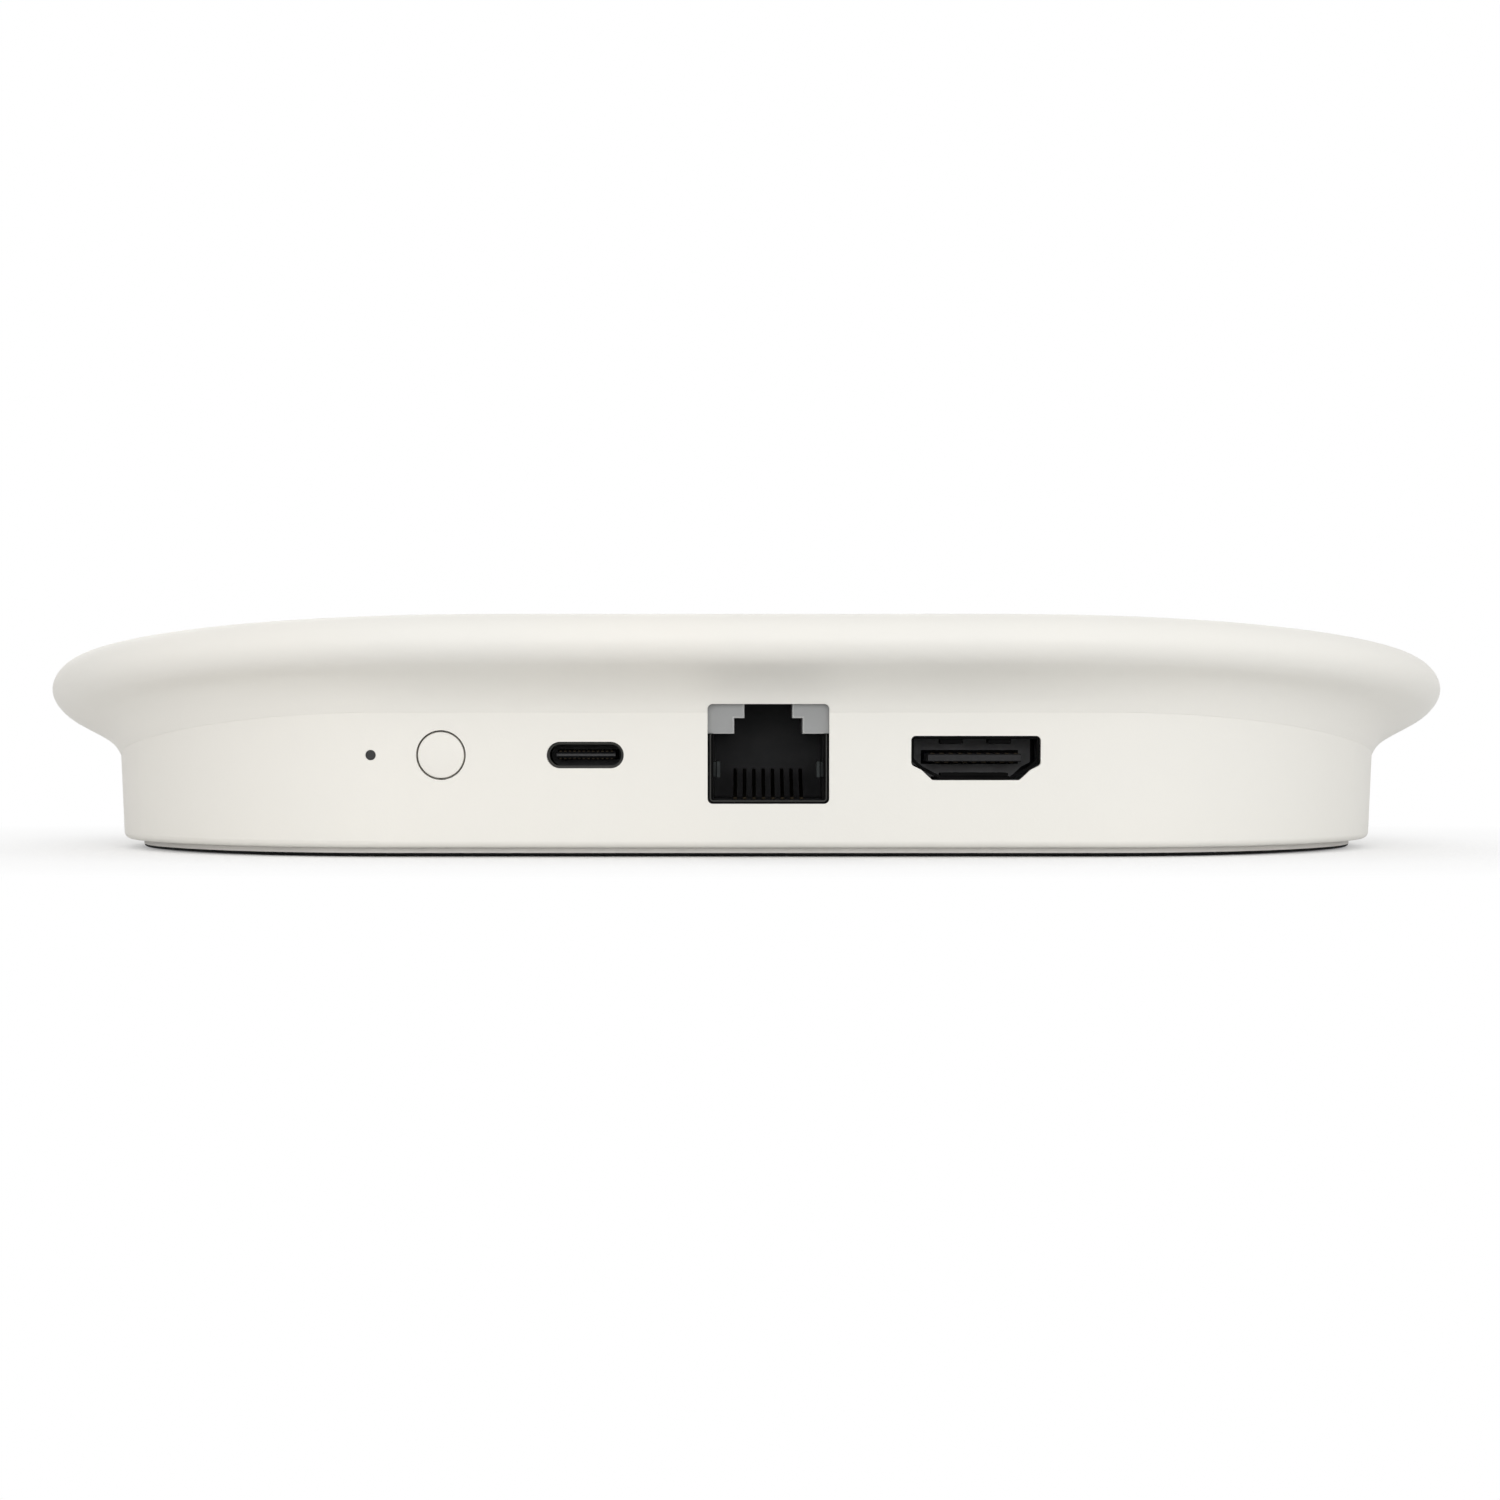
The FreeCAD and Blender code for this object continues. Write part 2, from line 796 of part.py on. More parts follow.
def base_housing():
    shell = base_form().common(crease_block(-beyond))
    shell = shell.cut(drafted_oval(base_wall, floor_top_z, overall_height))
    recess = pad_margin - pad_gap
    shell = shell.cut(oval_plate(recess, base_bottom_z - beyond, base_bottom_z + pad_recess))
    posts = [post(x, y, post_radius, base_bottom_z + pad_recess, board_low_z) for x, y in board_screw_places]
    posts += [post(x, y, seat_post_radius, floor_top_z, boss_low_z) for x, y in housing_screw_places]
    posts += [button_guide(), light_socket()]
    shell = shell.multiFuse(posts)
    cuts = port_cuts() + flange_seats()
    for x, y in board_screw_places:
        cuts.append(post(x, y, screw_radius + screw_gap, board_low_z - board_screw_bite, board_low_z))
    for x, y in housing_screw_places:
        cuts.append(post(x, y, screw_head_radius + screw_clear, 0.0, screw_seat_z))
        cuts.append(post(x, y, screw_radius + screw_clear, 0.0, boss_low_z))
    return shell.cut(Part.makeCompound(cuts))


def oval_plate(inset, low_z, high_z):
    """Plate with upright sides and the base's bottom outline, inset."""
    wire = base_oval.wire(inset, lambda x, v: FreeCAD.Vector(x, v, low_z))
    return Part.Face(wire).extrude(FreeCAD.Vector(0, 0, high_z - low_z))


def flange_seats():
    """Flat seats in the leaning wall for the flanges of the button and the light pipe."""
    inner, light_inner = button_flange_radius + button_guide_gap, light_flange_radius + light_gap
    return [
        rod(button_x, port_height, inner, wall_inner_y, wall_inner_y + button_guide_length),
        rod(light_x, port_height, light_inner, wall_inner_y, wall_inner_y + light_flange_thickness),
    ]


def button_relief():
    """Notch in the cover's spigot over the button and its guide."""
    half = button_flange_radius + button_guide_gap + button_guide_wall + spigot_gap
    back_y = wall_inner_y + button_guide_length + spigot_gap
    high_z = port_height + button_guide_half_height + spigot_gap
    return box(button_x - half, button_x + half, -base_depth, back_y, 0.0, high_z)


def button_guide():
    inner = button_flange_radius + button_guide_gap
    low_y, high_y = wall_inner_y - port_gap, wall_inner_y + button_guide_length
    ring = rod(button_x, port_height, inner + button_guide_wall, low_y, high_y)
    ring = ring.cut(rod(button_x, port_height, inner, low_y, high_y))
    half = inner + button_guide_wall
    low_z, high_z = port_height - button_guide_half_height, port_height + button_guide_half_height
    return ring.common(box(button_x - half, button_x + half, low_y, high_y, low_z, high_z))


def light_socket():
    inner = light_flange_radius + light_gap
    low_y, high_y = wall_inner_y - port_gap, wall_inner_y + light_flange_thickness
    ring = rod(light_x, port_height, inner + button_guide_wall, low_y, high_y)
    return ring.cut(rod(light_x, port_height, inner, low_y, high_y))


def foot_pad():
    plate = oval_plate(pad_margin, 0.0, base_bottom_z + pad_recess)
    rounded = [edge for edge in plate.Edges if edge.BoundBox.ZMax < near]
    return plate.makeFillet(pad_rib_round, rounded)


def screw(x, y, seat_z, length, up):
    """Pan-head screw with a cross recess; up is 1 if the head lies over its seat, else -1."""
    head_z = seat_z if up > 0 else seat_z - screw_head_height
    shank_z = seat_z - length if up > 0 else seat_z
    head = post(x, y, screw_head_radius, head_z, head_z + screw_head_height)
    body = head.fuse(post(x, y, screw_radius, shank_z, shank_z + length))
    recess_z = head_z + screw_head_height - cross_depth if up > 0 else head_z
    half, narrow = cross_length / 2, cross_width / 2
    for half_x, half_y in ((half, narrow), (narrow, half)):
        bar = box(x - half_x, x + half_x, y - half_y, y + half_y, recess_z, recess_z + cross_depth)
        body = body.cut(bar)
    return body


def housing_screws():
    length = boss_low_z + housing_screw_length - screw_seat_z - screw_clear
    return Part.makeCompound([screw(x, y, screw_seat_z, length, -1) for x, y in housing_screw_places])


def board_screws():
    seat_z = spreader_low_z + spreader_thickness
    length = seat_z - board_low_z + board_screw_bite - screw_clear
    return Part.makeCompound([screw(x, y, seat_z, length, 1) for x, y in board_screw_places])


def board_plate(inset, half_length, low_z, high_z):
    """Plate that follows the inside of the base, cut straight at its ends and its front."""
    plate = oval_plate(base_wall + inset, low_z, high_z)
    keep = box(-half_length, half_length, -base_depth, board_front_y, low_z, high_z)
    return plate.common(keep)


def main_board():
    board = board_plate(board_margin, board_half_length, board_low_z, board_top_z)
    half = jack_body_half + jack_sheet + board_cut_gap
    back = pocket_y + jack_depth + board_cut_gap
    cuts = [box(jack_x - half, jack_x + half, -base_depth, back, 0.0, overall_height)]
    for x, y in board_screw_places:
        cuts.append(post(x, y, screw_radius + screw_clear, 0.0, overall_height))
    return board.cut(Part.makeCompound(cuts))


def ballast_plate():
    high_z = floor_top_z + ballast_thickness
    plate = board_plate(ballast_margin, ballast_half_length, floor_top_z, high_z)
    return plate.cut(post_clearances())


def post_clearances():
    holes = [post(x, y, post_radius + ballast_gap, 0.0, board_low_z) for x, y in board_screw_places]
    holes += [post(x, y, seat_post_radius + ballast_gap, 0.0, boss_low_z) for x, y in housing_screw_places]
    return Part.makeCompound(holes)


def insulator_sheet():
    low_z = floor_top_z + ballast_thickness
    half_length = ballast_half_length - insulator_margin
    inset = ballast_margin + insulator_margin
    sheet = board_plate(inset, half_length, low_z, low_z + insulator_thickness)
    return sheet.cut(post_clearances())


def hdmi_springs():
    """Places of the four spring fingers, as (low_x, high_x, side), in the top and bottom sheet."""
    half = hdmi_spring_width / 2
    centres = (hdmi_x - hdmi_spring_x, hdmi_x + hdmi_spring_x)
    return [(x - half, x + half, side) for side in (1, -1) for x in centres]


def hdmi_shell():
    inner = grown(hdmi_outline(socket_y), port_gap)
    tube = prism(grown(inner, hdmi_sheet), hdmi_depth).cut(prism(inner, hdmi_depth))
    low_y = socket_y + hdmi_tongue_setback
    high_y = low_y + hdmi_spring_length
    inside = hdmi_half_height + port_gap
    fingers = []
    for low_x, high_x, side in hdmi_springs():
        levels = [hdmi_z + side * hdmi_half_height, hdmi_z + side * (inside + hdmi_sheet + port_gap)]
        tube = tube.cut(box(low_x, high_x, low_y, high_y, min(levels), max(levels)))
        fingers.append(hdmi_finger(low_x + port_gap, high_x - port_gap, low_y, high_y, side, inside))
    feet = []
    foot_top_z = hdmi_z - inside - hdmi_sheet / 2
    for x in (hdmi_x - hdmi_foot_x, hdmi_x + hdmi_foot_x):
        for y in (wall_inner_y + foot_size, socket_y + hdmi_depth - 2 * foot_size):
            feet.append(box(x, x + foot_size, y, y + foot_size, board_top_z, foot_top_z))
    return joined([tube] + fingers + feet)


def hdmi_finger(low_x, high_x, low_y, high_y, side, inside):
    """Spring finger rooted at the back of its window and bent into the mouth."""
    front, tip = low_y + port_gap, hdmi_spring_bend
    outline = [
        (high_y, inside + hdmi_sheet),
        ((front + high_y) / 2, inside - tip + hdmi_sheet),
        (front, inside - tip + hdmi_tip_flare + hdmi_sheet),
        (front, inside - tip + hdmi_tip_flare),
        ((front + high_y) / 2, inside - tip),
        (high_y, inside),
    ]
    points = [FreeCAD.Vector(low_x, y, hdmi_z + side * z) for y, z in outline]
    face = Part.Face(Part.makePolygon(points + points[:1]))
    return face.extrude(FreeCAD.Vector(high_x - low_x, 0, 0))


def hdmi_block_y():
    return socket_y + hdmi_depth - hdmi_block_depth


def hdmi_tongue():
    block = prism(grown(hdmi_outline(hdmi_block_y()), port_gap - screw_gap), hdmi_block_depth)
    half, thick = hdmi_tongue_width / 2, hdmi_tongue_thickness / 2
    front_y = socket_y + hdmi_tongue_setback
    blade = box(hdmi_x - half, hdmi_x + half, front_y, hdmi_block_y(), hdmi_z - thick, hdmi_z + thick)
    return joined([block, blade])


def contact_row(x, z, side, width, front_y, back_y):
    """Flat contact on one face of a tongue: side 1 lies on top of z, -1 under it."""
    low_z, high_z = sorted((z, z + side * contact_thickness))
    return box(x - width / 2, x + width / 2, front_y, back_y, low_z, high_z)


def solder_tail(x, back_y, width, top_z):
    """Tail behind a socket that drops to the board and lies along it."""
    half = width / 2
    drop = box(x - half, x + half, back_y, back_y + tail_thickness, board_top_z, top_z)
    foot = box(x - half, x + half, back_y, back_y + tail_reach, board_top_z, board_top_z + tail_thickness)
    return drop.fuse(foot)


def hdmi_contacts():
    pieces = []
    front_y = socket_y + hdmi_tongue_setback + hdmi_contact_width
    back_y = socket_y + hdmi_depth
    for side, count in ((1, hdmi_contact_count), (-1, hdmi_contact_count - 1)):
        for index in range(count):
            x = hdmi_x + (index - (count - 1) / 2) * hdmi_pitch
            face_z = hdmi_z + side * hdmi_tongue_thickness / 2
            pieces.append(contact_row(x, face_z, side, hdmi_contact_width, front_y, hdmi_block_y()))
            pieces.append(solder_tail(x, back_y, hdmi_contact_width / 2, hdmi_z - side * hdmi_step_drop / 2))
    return Part.makeCompound(pieces)


def usb_shell():
    inner = grown(usb_outline(socket_y), port_gap)
    tube = prism(grown(inner, usb_sheet), usb_depth).cut(prism(inner, usb_depth))
    return tube


def usb_block_y():
    return socket_y + usb_depth - usb_block_depth


def usb_tongue():
    block = prism(grown(usb_outline(usb_block_y()), port_gap - screw_gap), usb_block_depth)
    half, thick = usb_tongue_width / 2, usb_tongue_thickness / 2
    front_y = socket_y + usb_tongue_setback
    blade = box(usb_x - half, usb_x + half, front_y, usb_block_y(), port_height - thick, port_height + thick)
    return joined([block, blade])


def usb_contacts():
    pieces = []
    front_y = socket_y + usb_tongue_setback + usb_contact_width
    back_y = socket_y + usb_depth
    for index in range(usb_contact_count):
        x = usb_x + (index - (usb_contact_count - 1) / 2) * usb_pitch
        for side in (1, -1):
            face_z = port_height + side * usb_tongue_thickness / 2
            pieces.append(contact_row(x, face_z, side, usb_contact_width, front_y, usb_block_y()))
        pieces.append(solder_tail(x, back_y, usb_contact_width, port_height))
    return Part.makeCompound(pieces)


def usb_riser():
    """Plastic cradle between the board and the USB-C shell."""
    half = usb_half_width + port_gap + usb_sheet
    low_y, high_y = wall_inner_y + foot_size, socket_y + usb_depth
    block = box(usb_x - half - usb_cheek, usb_x + half + usb_cheek, low_y, high_y, board_top_z, port_height)
    hollow = prism(grown(usb_outline(low_y - foot_size), port_gap + usb_sheet), usb_depth + foot_size)
    return block.cut(hollow)


def jack_back_y():
    return pocket_y + jack_depth


def jack_box(half, low_z, high_z, low_y, high_y):
    return box(jack_x - half, jack_x + half, low_y, high_y, low_z, high_z)


def jack_window(side):
    """L-shaped light window beside the latch slot; side is 1 or -1."""
    outline = [
        (jack_latch_half, jack_window_high_z),
        (jack_window_side, jack_window_high_z),
        (jack_window_side, jack_plug_high_z),
        (jack_step_half, jack_plug_high_z),
        (jack_step_half, jack_step_high_z),
        (jack_latch_half, jack_step_high_z),
    ]
    points = [FreeCAD.Vector(jack_x + side * x, socket_y, z) for x, z in outline]
    return Part.Face(Part.makePolygon(points + points[:1])).extrude(FreeCAD.Vector(0, jack_window_depth, 0))


def jack_led(side, grow):
    """Light source behind a window, in a pocket of the jack's body."""
    middle = side * (jack_latch_half + jack_window_side) / 2 + jack_x
    half = led_size / 2 + grow
    low_y = socket_y + jack_window_depth
    centre_z = (jack_step_high_z + jack_window_high_z) / 2
    high_y = low_y + led_height + grow
    return box(middle - half, middle + half, low_y, high_y, centre_z - half, centre_z + half)


def ethernet_housing():
    inside_y = socket_y + jack_plug_depth
    body = jack_box(jack_body_half, jack_body_low_z, jack_body_high_z, socket_y, jack_back_y())
    open_y = socket_y - beyond
    cuts = [
        jack_box(jack_plug_half, jack_floor_z, jack_plug_high_z, open_y, inside_y),
        jack_box(jack_step_half, jack_plug_high_z - port_gap, jack_step_high_z, open_y, inside_y),
        jack_box(jack_latch_half, jack_step_high_z - port_gap, jack_latch_high_z, open_y, inside_y),
    ]
    for side in (1, -1):
        cuts.append(jack_window(side))
        cuts.append(jack_led(side, 0.0))
        cuts.append(jack_tab_window(side))
    return body.cut(Part.makeCompound(cuts))


def jack_tab_window(side):
    """Slot through the side of the jack's body for a spring tab of its jacket."""
    inner, outer = jack_x + side * (jack_plug_half - port_gap), jack_x + side * (jack_body_half + port_gap)
    low_x, high_x = sorted((inner, outer))
    low_y = socket_y + jack_tab_start - port_gap
    high_y = socket_y + jack_tab_start + jack_tab_length + port_gap
    return box(low_x, high_x, low_y, high_y, jack_tab_low_z - port_gap, jack_tab_high_z + port_gap)


def jack_tab(side):
    """Spring tab: leaves the jacket at its back end and runs forward inside the plug's room."""
    start, stop = socket_y + jack_tab_start, socket_y + jack_tab_start + jack_tab_length
    reach = jack_plug_half - jack_tab_reach
    leaf = sorted((jack_x + side * reach, jack_x + side * (reach + jack_sheet)))
    root = sorted((jack_x + side * reach, jack_x + side * (jack_body_half + jack_sheet)))
    pieces = [
        box(leaf[0], leaf[1], start, stop, jack_tab_low_z, jack_tab_high_z),
        box(root[0], root[1], stop - jack_sheet, stop, jack_tab_low_z, jack_tab_high_z),
    ]
    return pieces[0].fuse(pieces[1])


def ethernet_shield():
    """Sheet jacket over the top, sides and back of the jack, with tabs and feet on the board."""
    low_z, high_z = jack_body_low_z, jack_body_high_z + jack_sheet
    half = jack_body_half + jack_sheet
    jacket = jack_box(half, low_z, high_z, socket_y, jack_back_y() + jack_sheet)
    jacket = jacket.cut(jack_box(jack_body_half, low_z, jack_body_high_z, socket_y, jack_back_y()))
    pieces = [jacket]
    for side in (1, -1):
        pieces.append(jack_tab(side))
        low_x, high_x = sorted((jack_x + side * half, jack_x + side * (half + board_cut_gap + foot_size)))
        for y in (wall_inner_y + foot_size, jack_back_y() - 2 * foot_size):
            pieces.append(box(low_x, high_x, y, y + foot_size, board_top_z, board_top_z + jack_sheet))
    jacket = joined(pieces)
    return jacket.cut(Part.makeCompound([jack_leaf_slot(side) for side in (1, -1)]))


def jack_leaf_slot(side):
    """Slot that the tab leaves in the jacket's side."""
    low_x, high_x = sorted((jack_x + side * jack_body_half, jack_x + side * (jack_body_half + jack_sheet)))
    low_y = socket_y + jack_tab_start
    high_y = socket_y + jack_tab_start + jack_tab_length - jack_sheet
    return box(low_x, high_x, low_y, high_y, jack_tab_low_z, jack_tab_high_z)


def ethernet_contacts():
    """Eight springs that rise from the front of the jack's floor towards its back."""
    thick = jack_contact_thickness
    outline = [
        (jack_contact_start, jack_floor_z),
        (jack_contact_bend, jack_floor_z),
        (jack_contact_end, jack_contact_high_z - thick),
        (jack_contact_end, jack_contact_high_z),
        (jack_contact_bend, jack_floor_z + thick),
        (jack_contact_start, jack_floor_z + thick),
    ]
    pieces = []
    for index in range(jack_contact_count):
        x = jack_x + (index - (jack_contact_count - 1) / 2) * jack_pitch - jack_contact_width / 2
        points = [FreeCAD.Vector(x, socket_y + y, z) for y, z in outline]
        face = Part.Face(Part.makePolygon(points + points[:1]))
        pieces.append(face.extrude(FreeCAD.Vector(jack_contact_width, 0, 0)))
    return Part.makeCompound(pieces)


def ethernet_light_windows():
    return Part.makeCompound([jack_window(side) for side in (1, -1)])


def ethernet_leds():
    return Part.makeCompound([jack_led(side, 0.0) for side in (1, -1)])


def chip(x, y, length, width, height):
    """Moulded chip on the board with a marked corner."""
    low_x, low_y = x - length / 2, y - width / 2
    body = box(low_x, low_x + length, low_y, low_y + width, board_top_z, board_top_z + height)
    top_edges = [edge for edge in body.Edges if edge.BoundBox.ZMin > board_top_z + height - near]
    body = body.makeChamfer(chip_edge, top_edges)
    dot_z = board_top_z + height - chip_dot_depth
    dot = post(low_x + chip_dot_inset, low_y + chip_dot_inset, chip_dot_radius, dot_z, dot_z + beyond)
    return body.cut(dot)


def processor():
    return chip(shield_x, shield_y, processor_size, processor_size, processor_thickness)


def memory_x():
    return shield_x + processor_size / 2 + chip_gap + memory_width / 2


def memory_chips():
    pieces = []
    for index in range(memory_count):
        y = shield_y + (index - (memory_count - 1) / 2) * memory_pitch
        pieces.append(chip(memory_x(), y, memory_width, memory_length, memory_thickness))
    return Part.makeCompound(pieces)


def storage_chip():
    x = shield_x - processor_size / 2 - chip_gap - storage_width / 2
    return chip(x, shield_y, storage_width, storage_length, storage_thickness)


def shield_wall(x, y, half_x, half_y, height):
    """Upright sheet frame, open above and below, with a rounded plan."""
    low_z, high_z = board_top_z, board_top_z + height
    outer = upright_box(x, y, half_x, half_y, shield_corner, low_z, high_z)
    inner = upright_box(x, y, half_x - shield_sheet, half_y - shield_sheet, shield_corner / 2, low_z, high_z)
    return outer.cut(inner)


def upright_box(x, y, half_x, half_y, corner, low_z, high_z):
    body = box(x - half_x, x + half_x, y - half_y, y + half_y, low_z, high_z)
    upright = [edge for edge in body.Edges if edge.BoundBox.ZLength > (high_z - low_z) / 2]
    return body.makeFillet(corner, upright)


def shield_cap(x, y, half_x, half_y, height):
    """Lid of folded sheet that clips over a frame."""
    top_z = board_top_z + height
    grow = lid_gap + shield_sheet
    low_z = top_z - lid_skirt
    outer = upright_box(x, y, half_x + grow, half_y + grow, shield_corner, low_z, top_z + shield_sheet)
    inner = upright_box(x, y, half_x + lid_gap, half_y + lid_gap, shield_corner, low_z, top_z)
    return outer.cut(inner)


def shield_frame():
    return shield_wall(shield_x, shield_y, shield_half_length, shield_half_width, shield_height)


def shield_lid():
    return shield_cap(shield_x, shield_y, shield_half_length, shield_half_width, shield_height)


def wireless_chip():
    return chip(wireless_x, wireless_y, wireless_chip_size, wireless_chip_size, small_chip_height)


def wireless_shield():
    """One-piece can: frame and lid folded from the same sheet."""
    half = wireless_size / 2
    wall = shield_wall(wireless_x, wireless_y, half, half, wireless_height)
    low_z, high_z = board_top_z + wireless_height, board_top_z + wireless_height + shield_sheet
    return joined([wall, upright_box(wireless_x, wireless_y, half, half, shield_corner, low_z, high_z)])


def thermal_pads():
    """Soft pads: processor to lid, lid to heat spreader, wireless can to heat spreader."""
    lid_low_z = board_top_z + shield_height
    lid_high_z = lid_low_z + shield_sheet
    can_high_z = board_top_z + wireless_height + shield_sheet
    half, can_half = processor_size / 2 - pad_inset, wireless_size / 2 - pad_inset
    return Part.makeCompound([
        upright_box(shield_x, shield_y, half, half, pad_corner, board_top_z + processor_thickness, lid_low_z),
        upright_box(shield_x, shield_y, half, half, pad_corner, lid_high_z, spreader_low_z),
        upright_box(wireless_x, wireless_y, can_half, can_half, pad_corner, can_high_z, spreader_low_z),
    ])


def heat_spreader():
    """Cast plate over the board with four legs, a notch for the jack and low ribs on top."""
    high_z = spreader_low_z + spreader_thickness
    middle_y = (spreader_rear_y + spreader_front_y) / 2
    half_y = (spreader_front_y - spreader_rear_y) / 2
    plate = upright_box(0.0, middle_y, spreader_half_length, half_y, spreader_corner, spreader_low_z, high_z)
    legs = [post(x, y, post_radius, board_top_z, spreader_low_z) for x, y in board_screw_places]
    ribs = []
    for index in range(spreader_rib_count):
        y = shield_y + (index - (spreader_rib_count - 1) / 2) * spreader_rib_pitch
        half = spreader_rib_thickness / 2
        length = spreader_half_length - 2 * spreader_corner
        ribs.append(box(-length, length, y - half, y + half, high_z, high_z + spreader_rib_height))
    body = joined([plate] + legs + ribs)
    notch = jack_body_half + jack_sheet + spreader_notch_gap
    back_y = jack_back_y() + jack_sheet + spreader_notch_gap
    cuts = [box(jack_x - notch, jack_x + notch, spreader_rear_y - beyond, back_y, 0.0, overall_height)]
    for x, y in board_screw_places:
        cuts.append(post(x, y, screw_radius + screw_clear, 0.0, overall_height))
        cuts.append(post(x, y, screw_head_radius + screw_clear, high_z, overall_height))
    return body.cut(Part.makeCompound(cuts))


def ethernet_transformer():
    body = chip(transformer_x, transformer_y, transformer_length, transformer_width, transformer_height)
    leads = []
    for side in (1, -1):
        edge_y = transformer_y + side * transformer_width / 2
        low_y, high_y = sorted((edge_y, edge_y + side * lead_reach))
        for index in range(transformer_lead_count):
            x = transformer_x + (index - (transformer_lead_count - 1) / 2) * transformer_lead_pitch
            low_x, high_z = x - lead_width / 2, board_top_z + lead_width
            leads.append(box(low_x, low_x + lead_width, low_y, high_y, board_top_z, high_z))
    return joined([body] + leads)


def ethernet_chip():
    return chip(ethernet_chip_x, transformer_y, ethernet_chip_size, ethernet_chip_size, small_chip_height)


def power_chip():
    return chip(power_chip_x, power_chip_y, power_chip_size, power_chip_size, small_chip_height)


def power_inductors():
    pieces = []
    half, high_z = inductor_size / 2, board_top_z + inductor_height
    for index in range(inductor_count):
        x = inductor_x + (index - (inductor_count - 1) / 2) * inductor_pitch
        pieces.append(upright_box(x, inductor_y, half, half, chip_dot_inset, board_top_z, high_z))
    return Part.makeCompound(pieces)


def board_capacitors():
    pieces = []
    for row in range(capacitor_rows):
        low_x = capacitor_x + row * 2 * capacitor_length
        for index in range(capacitor_count):
            low_y = capacitor_y + index * capacitor_pitch
            high_x, high_y = low_x + capacitor_length, low_y + capacitor_width
            high_z = board_top_z + capacitor_height
            pieces.append(box(low_x, high_x, low_y, high_y, board_top_z, high_z))
    return Part.makeCompound(pieces)


def clock_crystal():
    half_x, half_y = crystal_width / 2, crystal_length / 2
    high_z = board_top_z + crystal_height
    return upright_box(crystal_x, crystal_y, half_x, half_y, chip_dot_inset, board_top_z, high_z)


def antenna(length, slots):
    """Stamped sheet standing on the board at x = 0, along Y, its feet towards +X."""
    plate = box(0.0, antenna_sheet, -length / 2, length / 2, board_top_z, board_top_z + antenna_height)
    pieces = [plate]
    for side in (-1, 1):
        y = side * (length / 2 - antenna_foot / 2)
        low_y, high_y = y - antenna_foot / 2, y + antenna_foot / 2
        pieces.append(box(0.0, antenna_foot, low_y, high_y, board_top_z, board_top_z + antenna_sheet))
    body = joined(pieces)
    for index in range(slots):
        y = (index - (slots - 1) / 2) * length / (slots + 1)
        low_z = board_top_z + antenna_foot if index % 2 else board_top_z + 2 * antenna_foot
        high_z = low_z + antenna_height - 3 * antenna_foot
        if index % 2 == 0:
            high_z = board_top_z + antenna_height
        body = body.cut(box(0.0, antenna_sheet, y - antenna_slot / 2, y + antenna_slot / 2, low_z, high_z))
    return body


def left_antenna():
    body = antenna(antenna_length, antenna_slots)
    body.translate(FreeCAD.Vector(-board_half_length + antenna_edge_gap, 0, 0))
    return body


def right_antenna():
    body = antenna(antenna_length, antenna_slots)
    body.rotate(FreeCAD.Vector(0, 0, 0), FreeCAD.Vector(0, 0, 1), 180)
    body.translate(FreeCAD.Vector(board_half_length - antenna_edge_gap, 0, 0))
    return body


def front_antenna():
    body = antenna(antenna_length, antenna_slots)
    body.rotate(FreeCAD.Vector(0, 0, 0), FreeCAD.Vector(0, 0, 1), -90)
    body.translate(FreeCAD.Vector(front_antenna_x, board_front_y - antenna_edge_gap, 0))
    return body


def button_cap():
    radius = button_hole_radius - button_gap
    face = rod(button_x, port_height, radius, wall_face_y - beyond, flange_y)
    face = face.common(drafted_oval(0.0, base_bottom_z, overall_height))
    flange = rod(button_x, port_height, button_flange_radius, flange_y, flange_back_y)
    half = button_flange_radius
    low_z, high_z = port_height - button_flange_half_height, port_height + button_flange_half_height
    flange = flange.common(box(button_x - half, button_x + half, flange_y, flange_back_y, low_z, high_z))
    stem = rod(button_x, port_height, button_stem_radius, flange_back_y, plunger_y)
    return joined([face, flange, stem])


def switch_plunger():
    return rod(button_x, port_height, switch_plunger_radius, plunger_y, dome_y - switch_dome_gap)


def switch_body():
    half = switch_width / 2
    low_y, high_y = switch_y, switch_y + switch_body_depth
    body = box(button_x - half, button_x + half, low_y, high_y, board_top_z, port_height + switch_half_height)
    bore = rod(button_x, port_height, switch_plunger_radius + switch_bore_gap, low_y, chamber_y)
    chamber = rod(button_x, port_height, switch_chamber_radius, chamber_y, chamber_back_y)
    return body.cut(bore.fuse(chamber))


def switch_dome():
    """Shallow spring dome whose rim rests on the back of the chamber."""
    rise = switch_dome_rise
    ball = (switch_dome_radius ** 2 + rise ** 2) / (2 * rise)
    centre = FreeCAD.Vector(button_x, dome_y + ball, port_height)
    shell = Part.makeSphere(ball, centre).cut(Part.makeSphere(ball - switch_dome_thickness, centre))
    return shell.common(rod(button_x, port_height, switch_chamber_radius, chamber_y, chamber_back_y))


def light_end_y():
    return wall_inner_y + light_run


def status_light_pipe():
    """Rod through the wall that turns down to the light source on the board."""
    through = rod(light_x, port_height, light_radius, wall_face_y - beyond, wall_inner_y)
    through = through.common(drafted_oval(0.0, base_bottom_z, overall_height))
    flange = rod(light_x, port_height, light_flange_radius, wall_inner_y, wall_inner_y + light_flange_thickness)
    run = rod(light_x, port_height, light_pipe_radius, wall_inner_y, light_end_y())
    bend = Part.makeSphere(light_pipe_radius, FreeCAD.Vector(light_x, light_end_y(), port_height))
    low_z = board_top_z + led_height + light_gap
    drop = post(light_x, light_end_y(), light_pipe_radius, low_z, port_height)
    return joined([through, flange, run, bend, drop])


def status_led():
    half = led_size / 2
    x, y = light_x, light_end_y()
    return box(x - half, x + half, y - half, y + half, board_top_z, board_top_z + led_height)


